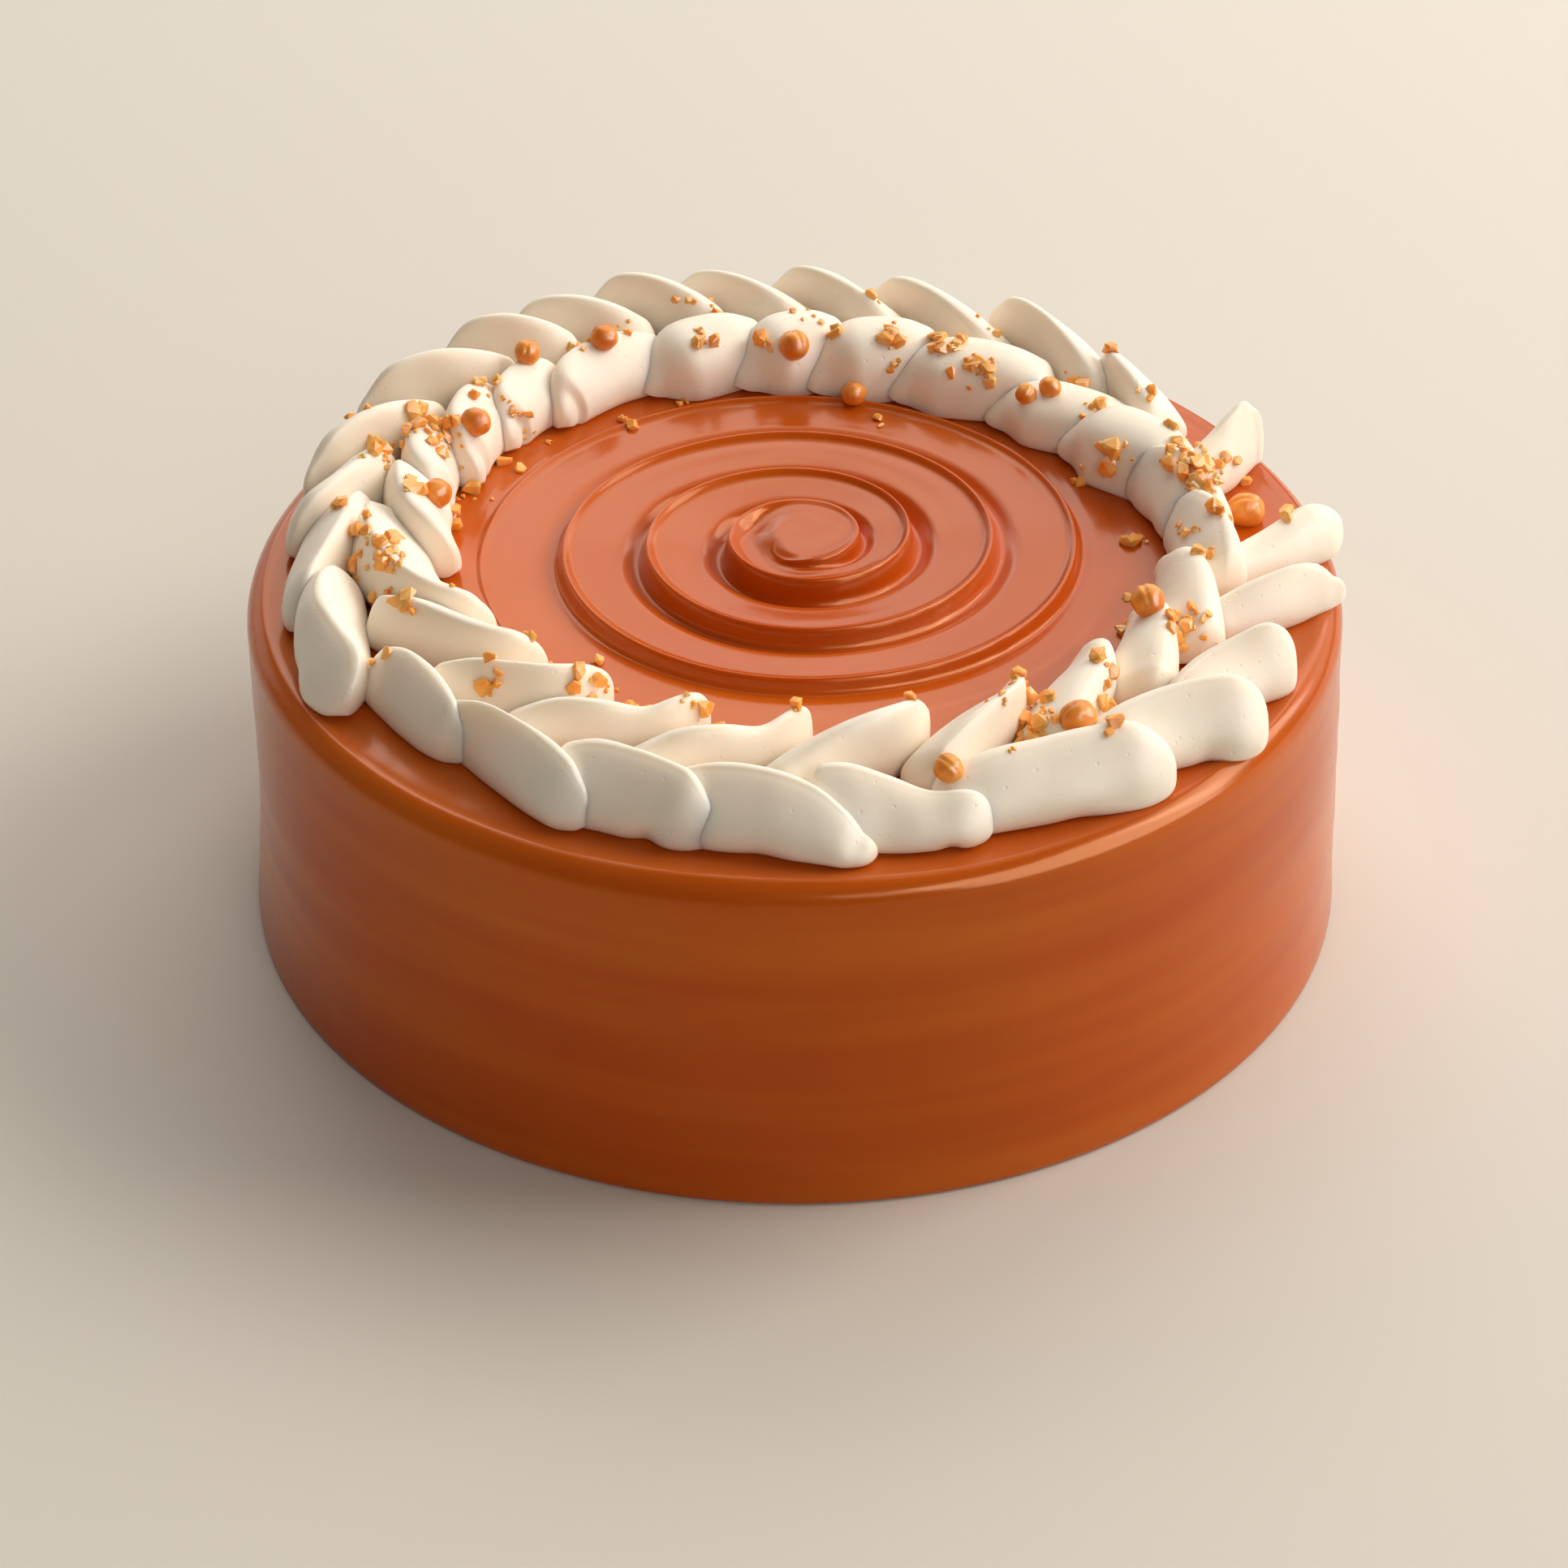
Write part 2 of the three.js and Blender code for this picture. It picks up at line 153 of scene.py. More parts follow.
# A stroke's start is rounded over one length, and its tip reaches past its end by another. The tip's
# rounding is no more than this share of the stroke.
START_ROUND = 3
TIP_LENGTH = 2.6
TIP_MOST = 0.6
STROKE_FOOT = 0.1
STROKE_RINGS = 26
PATH_STEPS = 20

# The strokes' heights against the usual one
HEIGHT_LEAST = 0.94
HEIGHT_SPREAD = 0.12

# At a stroke's very ends, as shares: the height left, how much less of it where the flanks are
# rounded, how far the foot has lifted, and the thickness of the ridge
TIP_TOP = 0.4
TIP_TOP_ROUNDED = 0.28
TIP_FOOT = 0.24
TIP_RIDGE = 0.35

# Each flank's reach at the start and the end of a stroke. The one towards the braid is steeper. A
# rounded flank is widest at one share of its height, and all of it waves softly, in mm.
BRAID_FLANK = (0.85, 0.5)
FREE_FLANK = (1.08, 0.8)
BELLY_UP = 0.3
BELLY_POWER = 2.4
LEAN_POWER = 1.3
SOFT_WAVE = 0.35
SOFT_WAVE_LENGTH = 9

# The outer strokes stand taller round this angle in degrees, up to this share of their height
TALL_AT = 130
TALL_REACH = 42
TALL_MORE = 0.22

# Where each stroke ends, in degrees round the cake, how far from the cake's axis in mm, how many
# degrees it starts under the one before it, and its shape
OUTER_STROKES = [
    (5, 99.5, -1, "paddle"), (22.5, 95.5, -13, "spike"), (47, 90, -8, "fan"), (64, 97, 5, "fan"),
    (79, 98, 5, "fan"), (91, 98, 5, "fan"), (103, 98, 5, "fan"), (113, 98.5, 5, "fan"),
    (124, 97.5, 5, "fan"), (134, 96.5, 5, "fan"), (148, 96, 5, "fan"), (163, 94, 5, "fan"),
    (176, 91, 5, "petal"), (192, 90.5, 8, "petal"), (210, 92, 5, "shell"), (226, 83.5, 3, "tongue"),
    (245, 88.5, 4, "slender"), (259, 87.5, 6, "folded"), (276, 91, 6, "wave"), (289, 89, 6, "scoop"),
    (310, 94, 4, "loaf"), (323, 97, 5, "flare"), (334, 94, 3, "rising"), (352, 98, -8, "slim"),
]
INNER_STROKES = [
    (8, 72, 5, "petal"), (21, 70, 5, "petal"), (37, 67, 5, "lobe"), (53, 67, 5, "low_lobe"),
    (71, 67, 5, "lobe"), (85, 67, 5, "lobe"), (97, 69, 5, "lobe"), (112, 72, 5, "lobe"),
    (129, 70, 5, "upright"),
    (140, 71, 5, "upright"), (152, 68.5, 5, "upright"), (164, 68, 5, "upright"), (180, 63.5, 5, "petal"),
    (204, 61, 10, "broad"), (219, 59.5, 9, "petal"), (233, 57.5, 5, "blade"), (252, 57, 5, "crest"),
    (270, 59.5, 5, "crest"), (290, 61, 5, "fan"), (307, 60.5, 5, "leaf"), (325, 62.5, 5, "low_petal"),
    (339, 65.5, 5, "low_petal"), (355, 68, 5, "low_petal"),
]

# How far along each station of a stroke is
STATIONS = [0, 0.25, 0.5, 0.72, 0.88, 1]

# At those stations, each shape's ridge height and body width against the usual ones, and how far
# the ridge leans towards the braid line in mm. Then how thick the ridge is, how rounded the flanks
# are, how far the end turns away from the braid line, how late an outer stroke goes outward, how
# long the rounding of its tip is in mm, and dents in the face that is turned away: along, up,
# reach along, reach up and depth in mm.
SHAPES = {
    "blade": {
        "high": [0.7, 0.96, 1, 0.98, 0.9, 0.8], "wide": [1, 1.1, 1.06, 1, 0.94, 0.86],
        "lean": [2, 2.6, 2.6, 2.2, 1.6, 1], "ridge": 1, "puff": 0.1, "turn": 0.2,
        "bend": 2, "tip": 6, "dents": [(0.55, 0.1, 0.14, 0.2, 0.5)],
    },
    "slender": {
        "high": [0.7, 0.96, 1, 0.98, 0.9, 0.8], "wide": [0.2, 0.34, 0.6, 0.86, 0.92, 0.88],
        "lean": [2, 2.4, 2.4, 2, 1.6, 1], "ridge": 1, "puff": 0.15, "turn": 0.2,
        "bend": 2, "tip": 6.5, "dents": [],
    },
    "leaf": {
        "high": [0.7, 0.96, 1.04, 0.98, 0.84, 0.62], "wide": [0.95, 1.02, 0.98, 0.86, 0.7, 0.54],
        "lean": [2, 2.6, 3, 2.8, 2, 1.2], "ridge": 1, "puff": 0.1, "turn": 0.1,
        "bend": 2, "tip": 6, "dents": [(0.65, 0.1, 0.12, 0.2, 0.6)],
    },
    "petal": {
        "high": [0.7, 0.98, 1.05, 1.04, 0.97, 0.86], "wide": [1, 1.1, 1.08, 1.02, 0.96, 0.88],
        "lean": [2, 2.6, 2.6, 2.2, 1.6, 1], "ridge": 1.15, "puff": 0.2, "turn": 0.1,
        "bend": 2, "tip": 6, "dents": [(0.55, 0.05, 0.12, 0.2, 0.6)],
    },
    "broad": {
        "high": [0.7, 0.98, 1.05, 1.04, 0.97, 0.86], "wide": [1.2, 1.3, 1.24, 1.1, 0.98, 0.88],
        "lean": [1.4, 2, 2.4, 2.2, 1.6, 1], "ridge": 1.15, "puff": 0.2, "turn": 0.6,
        "bend": 2, "tip": 6, "dents": [(0.55, 0.05, 0.12, 0.2, 0.6)],
    },
    "lobe": {
        "high": [0.7, 0.95, 1, 0.98, 0.88, 0.72], "wide": [0.9, 1.1, 1.34, 1.42, 1.28, 1],
        "lean": [1.5, 2, 2, 1.4, 0.6, 0], "ridge": 4, "puff": 1, "turn": 0.2,
        "bend": 2, "tip": 12, "dents": [],
    },
    "low_lobe": {
        "high": [0.6, 0.76, 0.78, 0.76, 0.7, 0.58], "wide": [0.9, 1.1, 1.34, 1.42, 1.28, 1],
        "lean": [1.5, 2, 2, 1.4, 0.6, 0], "ridge": 4, "puff": 1, "turn": 0.2,
        "bend": 2, "tip": 12, "dents": [],
    },
    "upright": {
        "high": [0.7, 0.96, 1, 0.98, 0.88, 0.72], "wide": [0.9, 1, 1, 0.96, 0.92, 0.84],
        "lean": [1.5, 1.8, 1.4, 0.8, 0.2, 0], "ridge": 1.1, "puff": 0.45, "turn": 0.75,
        "bend": 2, "tip": 7, "dents": [],
    },
    "fan": {
        "high": [0.6, 0.9, 1.06, 1.06, 0.94, 0.74], "wide": [0.9, 0.98, 0.94, 0.86, 0.76, 0.62],
        "lean": [1.6, 2, 2, 1.6, 1, 0.5], "ridge": 1.1, "puff": 0.3, "turn": 0,
        "bend": 1.2, "tip": 8, "dents": [],
    },
    "paddle": {
        "high": [0.55, 0.6, 0.68, 0.76, 0.78, 0.74], "wide": [0.58, 0.64, 0.76, 0.92, 0.98, 0.86],
        "lean": [0.6, 1, 1.2, 1.2, 1, 0.8], "ridge": 2.2, "puff": 0.6, "turn": 0,
        "bend": 1.2, "tip": 8, "dents": [],
    },
    "low_petal": {
        "high": [0.62, 0.82, 0.88, 0.86, 0.78, 0.64], "wide": [1, 1.08, 1.08, 1.02, 0.94, 0.8],
        "lean": [2, 2.4, 2.4, 2, 1.4, 0.8], "ridge": 1.3, "puff": 0.45, "turn": 0.1,
        "bend": 2, "tip": 8, "dents": [],
    },
    "spike": {
        "high": [0.6, 0.74, 0.88, 1.06, 1.14, 0.96], "wide": [0.66, 0.76, 0.74, 0.56, 0.34, 0.14],
        "lean": [1, 1.4, 1.4, 1.2, 1, 0.8], "ridge": 0.7, "puff": 0.3, "turn": 0,
        "bend": 1.1, "tip": 3, "dents": [],
    },
    "slim": {
        "high": [0.5, 0.68, 0.8, 0.84, 0.76, 0.54], "wide": [0.6, 0.66, 0.66, 0.56, 0.4, 0.24],
        "lean": [1, 1.4, 1.6, 1.6, 1.2, 0.8], "ridge": 1, "puff": 0.2, "turn": 0,
        "bend": 1.1, "tip": 5.5, "dents": [],
    },
    "shell": {
        "high": [0.7, 0.98, 1.04, 0.98, 0.9, 0.76], "wide": [0.8, 1.06, 1.24, 1.36, 1.38, 1.26],
        "lean": [-1, -2.8, -3, -0.4, 3, 5.4], "ridge": 1, "puff": 0.3, "turn": 0.2,
        "bend": 2, "tip": 8, "dents": [(0.72, 0.15, 0.06, 0.14, 1)],
    },
    "tongue": {
        "high": [0.7, 1, 1.02, 0.96, 0.88, 0.76], "wide": [0.6, 0.66, 0.72, 0.76, 0.74, 0.66],
        "lean": [1, 2, 2.4, 1.8, 0.8, 0.2], "ridge": 1, "puff": 0.35, "turn": 0.35,
        "bend": 2, "tip": 6, "dents": [],
    },
    "folded": {
        "high": [0.7, 0.96, 1, 0.98, 0.94, 0.84], "wide": [1, 1.08, 1.02, 0.98, 0.98, 0.94],
        "lean": [2, 2.4, 2.6, 2.4, 2, 1.4], "ridge": 0.9, "puff": 0.25, "turn": 0.2,
        "bend": 2, "tip": 7.5, "dents": [(0.68, 0.06, 0.08, 0.18, 1.3), (0.8, 0.3, 0.18, 0.18, 0.5)],
    },
    "wave": {
        "high": [0.72, 0.98, 1, 0.88, 0.66, 0.42], "wide": [1, 1.08, 1.06, 1.04, 1, 0.92],
        "lean": [2, 2.2, 2.4, 2.2, 1.4, 0.4], "ridge": 0.8, "puff": 0.15, "turn": 0.3,
        "bend": 2, "tip": 6, "dents": [(0.5, 0.05, 0.1, 0.25, 0.7)],
    },
    "scoop": {
        "high": [0.95, 1, 0.86, 0.7, 0.7, 0.74], "wide": [1, 1, 0.98, 0.96, 0.98, 0.92],
        "lean": [3, 3.2, 2.8, 2, 1.6, 1.4], "ridge": 1.1, "puff": 0.2, "turn": 0,
        "bend": 1.1, "tip": 6.5, "dents": [(0.5, 0.5, 0.16, 0.28, 0.8), (0.84, 0.08, 0.06, 0.14, 1.2)],
    },
    "loaf": {
        "high": [0.56, 0.82, 0.9, 0.96, 0.98, 0.9], "wide": [1, 1.12, 1.16, 1.14, 1.1, 1.02],
        "lean": [1.6, 2, 2.4, 2.8, 2.6, 2], "ridge": 2.6, "puff": 0.3, "turn": 0.1,
        "bend": 2, "tip": 8, "dents": [(0.62, 0.05, 0.1, 0.2, 0.8)],
    },
    "rising": {
        "high": [0.5, 0.68, 0.8, 0.9, 0.98, 0.98], "wide": [0.8, 0.9, 0.9, 0.86, 0.8, 0.74],
        "lean": [2, 2.6, 2.8, 2.6, 2.2, 1.6], "ridge": 1, "puff": 0, "turn": 0.1,
        "bend": 2, "tip": 5, "dents": [],
    },
    "flare": {
        "high": [0.6, 0.84, 0.94, 1, 1.02, 0.98], "wide": [0.9, 1, 1, 1.04, 1.14, 1.14],
        "lean": [1.6, 2.2, 2.8, 3.2, 3, 2.6], "ridge": 1.5, "puff": 0.1, "turn": 0.1,
        "bend": 2, "tip": 6, "dents": [(0.76, 0.12, 0.08, 0.2, 1.2)],
    },
    "crest": {
        "high": [0.6, 0.97, 0.96, 0.8, 0.86, 0.84], "wide": [1, 1.08, 1.02, 0.9, 0.8, 0.7],
        "lean": [1.6, 2.6, 2.8, 2, 1, 0.6], "ridge": 1.1, "puff": 0.1, "turn": 0,
        "bend": 2, "tip": 5, "dents": [(0.5, 0.3, 0.14, 0.3, 0.6)],
    },
}

# Up a stroke's flank from its foot: how far out it is as a share of the half width beyond the
# ridge's, and how high as a share of the ridge's height
FLANK = [
    (0.62, 0), (0.8, 0.03), (0.92, 0.09), (0.985, 0.17), (1, 0.27), (0.97, 0.37), (0.89, 0.47),
    (0.77, 0.57), (0.62, 0.67), (0.46, 0.76), (0.31, 0.84), (0.17, 0.9), (0.06, 0.945), (0, 0.96),
    (0, 0.98), (0, 0.993),
]

# Praline pearls: the angle in degrees, the distance from the cake's axis and the radius in mm
PEARLS = [
    (11.2, 86.2, 3.5), (47.2, 66.8, 2.1), (44.8, 70.5, 2.1), (78.2, 62.2, 2.4), (89, 66.8, 3),
    (118.2, 75.8, 2.6), (130, 78.8, 2.6), (148.8, 69.6, 2.8), (169.4, 66.8, 2.8), (287, 82.4, 2.5),
    (306.5, 78.8, 3.1), (334.5, 68.2, 3.1),
]

# The pearls as shares of their radius: how high the middle is, the stretch, the swell and the crease
PEARL_UP = 0.55
PEARL_STRETCH = (1.06, 0.96, 0.98)
PEARL_SWELL = 0.07
PEARL_BUMPS = 0.03
PEARL_CREASE = 0.1
PEARL_CREASE_WIDTH = 0.12

# Praline crumbs were strewn in small groups: the angle in degrees, the distance from the axis and
# the height over the top in mm, how far they spread and how many
CRUMB_GROUPS = [
    (187, 75, 11, 5, 18), (180, 80, 7, 3, 5), (193, 71, 11, 3, 4), (203, 74, 11, 3, 4),
    (200, 64, 10, 2, 2), (211, 84, 10, 2, 2), (220, 71, 11, 2, 4), (223, 72, 7, 2, 5),
    (218, 59, 7, 1.5, 2), (229, 64, 11, 2, 2), (233, 62, 8, 2, 6), (236, 59, 6, 2, 4),
    (245, 62, 10, 3, 9), (251, 60, 9, 1.5, 4), (256, 61, 9, 2, 5), (268, 61, 9, 2, 6),
    (275, 62, 9, 1.5, 4), (286, 61, 9, 1.5, 2), (304, 65, 10, 2.5, 5), (298, 70, 11, 2, 4),
    (308, 65, 5, 3, 13), (303, 74, 8, 3, 20), (318, 70, 6, 2.5, 5), (336, 77, 11, 2, 5),
    (334, 75, 7, 3, 20), (333, 82, 10, 2, 3), (294, 84, 10, 1.5, 2), (307, 88, 11, 2, 4),
    (358, 72, 11, 2, 6), (352, 74, 9, 2, 6), (2, 79, 8, 3, 10), (337, 64, 9, 2, 5), (7, 63, 4, 2, 5),
    (25, 80, 10, 2, 5), (19, 78, 10, 4, 19), (15, 76, 9, 4, 19), (9, 76, 9, 3, 13), (24, 68, 8, 3, 8),
    (2, 91, 9, 1.5, 3), (17, 89, 10, 1.5, 3), (34, 82, 10, 2, 3), (44, 88, 10, 1.5, 3),
    (46, 80, 9, 2, 5), (37, 72, 10, 2, 5), (58, 70, 7, 3, 11), (64, 72, 9, 2, 6), (75, 73, 10, 2, 5),
    (83, 73, 10, 2, 5), (94, 70, 8, 2, 5), (103, 72, 9, 3, 8), (100, 87, 10, 1.5, 3),
    (120, 80, 10, 3, 10), (114, 81, 10, 2, 5), (138, 70, 8, 3, 10), (138, 81, 9, 2, 5),
    (150, 81, 11, 2, 5), (156, 71, 12, 3, 11), (158, 66, 6, 2, 5), (171, 70, 11, 2, 5),
    (175, 83, 11, 1.5, 3), (157, 85, 10, 1.5, 3), (163, 81, 10, 3, 10), (120, 65, 0, 2.5, 4),
    (108, 67, 1, 1, 5), (135, 67, 0, 2, 2), (143, 66, 0, 2, 2), (154, 65, 0, 2, 2), (163, 65, 0, 2, 2),
    (73, 57, 0, 1.5, 2), (30, 62, 0, 2, 4), (8, 64, 0, 2, 2), (352, 61, 0, 3, 5), (220, 45, 0, 2, 2),
    (231, 50, 0, 1, 1), (190, 76, 5, 4, 14), (184, 78, 9, 3, 6), (18, 83, 9, 3, 10), (12, 79, 10, 3, 8),
    (60, 68, 9, 3, 5), (87, 76, 11, 3, 5), (104, 84, 12, 2, 4), (78, 85, 12, 1.5, 2),
    (62, 84, 12, 2, 3), (300, 76, 10, 3, 8), (315, 76, 9, 3, 6), (155, 80, 10, 3, 10),
    (151.5, 75, 10, 3, 12), (139, 77.5, 10, 3, 12), (157.5, 84.5, 9, 2, 6), (154, 91, 8, 2, 3),
    (240, 61, 10, 2, 8), (247, 59, 10, 2, 8), (255, 59.5, 9, 2, 5), (268, 58.5, 10, 1.5, 4),
    (115, 82, 11, 2, 4), (100, 82, 11, 2, 3), (66, 72, 10, 3, 6), (72, 66, 11, 3, 6),
]

# Crumbs fall in this direction from this far away, so they lie on sides that look forward too. Most
# are small, because a crumb's size goes by a power of its draw.
CRUMB_FALL = (-0.05, 0.5, -0.87)
FALL_HEIGHT = 60
CRUMB_SUNK = 0.25
CRUMB_LEAST = 0.26
CRUMB_SPREAD = 0.9
CRUMB_POWER = 2.2
CHIP_CORNERS = 16


# Numbers

def repeatable_random(seed):
    """A small repeatable random number generator, from 0 to 1."""
    state = seed

    def draw():
        nonlocal state
        state = (state * RANDOM_STEP) % RANDOM_SPAN
        return state / RANDOM_SPAN

    return draw


def mix(start, end, share):
    """The number this share of the way from start to end."""
    return start + (end - start) * share


def smooth_step(low, high, value):
    """From 0 to 1 with a soft start and end, while the value goes from low to high."""
    share = min(max((value - low) / (high - low), 0), 1)
    return share * share * (3 - 2 * share)


def bell(distance, width):
    """1 at no distance, and fading away on both sides."""
    return math.exp(-((distance / width) ** 2))


def curve_at(stations, values, along):
    """A smooth curve through values that are given at the stations."""
    last = len(stations) - 1
    along = min(max(along, stations[0]), stations[last])
    step = 0
    while step < last - 1 and along > stations[step + 1]:
        step += 1

    def slope(point):
        before = max(point - 1, 0)
        after = min(point + 1, last)
        return (values[after] - values[before]) / (stations[after] - stations[before])

    width = stations[step + 1] - stations[step]
    t = (along - stations[step]) / width
    start_part = (2 * t**3 - 3 * t**2 + 1) * values[step] + (t**3 - 2 * t**2 + t) * width * slope(step)
    end_part = (3 * t**2 - 2 * t**3) * values[step + 1] + (t**3 - t**2) * width * slope(step + 1)
    return start_part + end_part


def on_circle(angle, radius):
    """The point on the plan at this angle in radians and distance from the axis."""
    return Vector((radius * math.cos(angle), radius * math.sin(angle)))


# The glazed cake

def crest_radius(angle):
    """How far the spiral's crest is from the swirl's centre. It starts as a tight round core."""
    drawn = SWIRL_FIRST + SWIRL_PITCH * min(angle, SWIRL_END) / TURN
    past = LAST_PITCH * max(angle - SWIRL_END, 0) / TURN
    opening = max(1 - OPEN_SHARE * math.exp((SWIRL_START - angle) / OPEN_TURN), 0)
    return (drawn + math.log(1 + math.exp(SWIRL_CORE - drawn))) * opening + past


def crest_fade(angle):
    """The crest fades in where the spatula was set down, and out where it was lifted."""
    fade_in = smooth_step(SWIRL_START, SWIRL_START + FADE_IN, angle)
    return fade_in * (1 - smooth_step(SWIRL_END - FADE_OUT, SWIRL_END, angle))


def start_height(angle, radius):
    """Inside the first turn: a flat curl where the spatula was set down, and a hollow to its left."""
    degrees = math.degrees(angle) % 360
    start = mix(HOLLOW_FROM, SWIRL_CORE, smooth_step(*HOLLOW_CLOSES, degrees))
    hollow = smooth_step(*HOLLOW_OPENS, degrees) * smooth_step(start, start + HOLLOW_SLOPE, radius)
    return mix(CURL_RISE, HOLLOW_RISE, hollow)


def rim_height(crest, across):
    """Inside the first turn, the rise up to the crest round it."""
    return crest * smooth_step(CORE_RIM_FROM, 1, across)


def crest_height(glaze, angle):
    """The spiral's crest is highest near its start, where it rises out of the curl."""
    radius = crest_radius(angle)
    full = mix(glaze.crest_rise / MM, CREST_LAST, min(radius / SWIRL_OUTER, 1))
    fade = crest_fade(angle)
    if fade == 1 or angle > SWIRL_START + TURN:
        return full * fade
    round_again = angle + TURN
    rim = rim_height(crest_height(glaze, round_again), radius / crest_radius(round_again))
    return mix(max(start_height(angle, radius), rim), full, fade)


def groove_depth(glaze, angle):
    """The grooves get shallower from turn to turn."""
    out = min(crest_radius(angle) / SWIRL_OUTER, 1)
    return glaze.groove_depth / MM * (1 - GROOVE_FADE * out * out)


def terrace_rise(across):
    """From the groove at the foot of the wall, up over the nearly flat terrace to the crest."""
    return sum(rise * smooth_step(low, high, across) for rise, low, high in TERRACE_PARTS)


def lip_rise(glaze, angle, distance):
    """The thin raised lip along the crest."""
    return glaze.lip_rise / MM * crest_fade(angle) * bell(distance, LIP_WIDTH)


def swirl_height(glaze, angle, across, radius):
    """The height over the top's level, and how deep in a groove it is."""
    crest = crest_height(glaze, angle)
    outer = crest_radius(angle)
    start = max(start_height(angle, radius), rim_height(crest, radius / outer))
    lip = lip_rise(glaze, angle, outer - radius)
    if angle - TURN < SWIRL_START:
        return start + lip, 0
    fade = crest_fade(angle - TURN)
    depth = groove_depth(glaze, angle)
    low = mix(CORE_GROUND, -depth, smooth_step(SWIRL_START + TURN, SWIRL_START + 2 * TURN, angle))
    cut = mix(low, crest, terrace_rise(across))
    ground = start if angle < SWIRL_START + 2 * TURN else crest * across
    height = mix(ground, cut, fade)
    # The wall comes down from the crest before, once that has begun
    inner_crest = crest_height(glaze, angle - TURN)
    inner_edge = mix(height, inner_crest, smooth_step(0, 0.15, fade))
    height = mix(inner_edge, height, smooth_step(0, WALL_END, across))
    lip += lip_rise(glaze, angle - TURN, radius - crest_radius(angle - TURN))
    deep = fade * smooth_step(*GROOVE_DARK[:2], across) * (1 - smooth_step(*GROOVE_DARK[2:], across))
    return height + lip, deep * depth / (glaze.groove_depth / MM)


def hand_wave(x, y):
    """The top was smoothed by hand and isn't quite level."""
    return HAND_WAVE * noise.noise(Vector((x / HAND_WAVE_LENGTH, y / HAND_WAVE_LENGTH, TOP_SLICE)))


def spatula_streak(angle, across):
    """Faint streaks that run along the turn."""
    place = Vector((angle * STREAKS_ALONG, across * STREAKS_ACROSS, STREAK_SLICE))
    return STREAK_RISE * noise.noise(place)


def side_radius(glaze, z, angle):
    """The side flares towards its base. Slow waves go round it and turn a little with the height."""
    height = glaze.height / MM
    down = 1 - z / height
    flare = mix(glaze.top_radius / MM, glaze.base_radius / MM, down * down)
    wave = math.sin(3 * angle + 0.6 + z / 30) + 0.6 * math.sin(5 * angle + z / 14)
    drag = noise.noise(Vector((*on_circle(angle, DRAGS_ROUND), z / DRAG_HEIGHT)))
    return flare + (SIDE_WAVE * wave + DRAG_DEPTH * drag) * math.sin(math.pi * (1 - down))


def rim_rise(angle, beyond):
    """The fine rim's height, this far outside the flat of the top in mm."""
    uneven = noise.noise(Vector((*on_circle(angle, RIMS_ROUND), RIM_SLICE)))
    broad = bell(math.remainder(angle - BROAD_AT, TURN), BROAD_REACH)
    place = 0.4 + 1.4 * broad * uneven
    rise = RIM_RISE + RIM_UNEVEN * uneven + BROAD_UNEVEN * broad * uneven
    return rise * bell(beyond - place, RIM_WIDTH + BROAD_WIDTH * broad)


def swirl_points(glaze, angle):
    """Out from the swirl's centre over its turns: each row's order, which grows by one a turn, its
    point in mm and how deep in a groove it is."""
    centre_start = SWIRL_START + OPEN_TURN * math.log(OPEN_SHARE)
    first_turn = math.ceil((centre_start - angle) / TURN)
    last_turn = math.floor((SWIRL_END - angle) / TURN) + 1
    for turn in range(first_turn, last_turn + 1):
        drawn = angle + TURN * turn
        is_first = drawn - TURN < centre_start
        inner = 0 if is_first else crest_radius(drawn - TURN)
        outer = crest_radius(drawn)
        for row in range(1, ROWS_A_TURN + 1):
            share = row / ROWS_A_TURN
            # The rows crowd together at the wall and at the crest
            across = share if is_first else share - ROW_CROWDING * math.sin(TURN * share)
            radius = mix(inner, outer, across)
            x, y = Vector((SWIRL_X, SWIRL_Y)) + on_circle(angle, radius)
            rise, deep = swirl_height(glaze, drawn, across, radius)
            streak = spatula_streak(drawn, across) * smooth_step(0, STREAKS_FROM, radius)
            rise += hand_wave(x, y) + streak
            yield turn + across, (x, y, glaze.height / MM + rise), deep


def ring_places(glaze, angle):
    """Outside the swirl, over the rim and down the side: each ring's radius and height in mm."""
    height = glaze.height / MM
    top_radius = glaze.top_radius / MM
    edge = glaze.edge_round / MM
    for step in range(TOP_RINGS):
        radius = mix(top_radius - TOP_RINGS_WIDTH, top_radius - edge, step / (TOP_RINGS - 1))
        rise = rim_rise(angle, radius - top_radius + edge)
        yield radius, height + rise + hand_wave(*on_circle(angle, radius))
    for step in range(1, EDGE_RINGS + 1):
        tilt = math.radians(90 / EDGE_RINGS * step)
        fade = 1 - step / EDGE_RINGS
        z = height - edge * (1 - math.cos(tilt))
        shrink = edge * (1 - math.sin(tilt))
        wobble = hand_wave(*on_circle(angle, top_radius)) * fade
        rim = rim_rise(angle, edge * math.sin(tilt)) * fade
        yield side_radius(glaze, z, angle) - shrink, z + wobble + rim
    for step in range(1, SIDE_RINGS + 1):
        z = mix(height - edge, FOOT_ROUND, step / SIDE_RINGS)
        yield side_radius(glaze, z, angle), z
    for tilt in (30, 60, 90):
        round_in = math.radians(tilt)
        radius = glaze.base_radius / MM - FOOT_ROUND * (1 - math.cos(round_in))
        yield radius, FOOT_ROUND * (1 - math.sin(round_in))


def cake_line(glaze, sector):
    """One line of points from the swirl's centre over the rim and down the side to the base."""
    angle = TURN * sector / CAKE_SECTORS
    line = list(swirl_points(glaze, angle))
    for index, (radius, z) in enumerate(ring_places(glaze, angle)):
        x, y = on_circle(angle, radius)
        line.append((RING_ORDER + index, (x, y, z), 0))
    return line


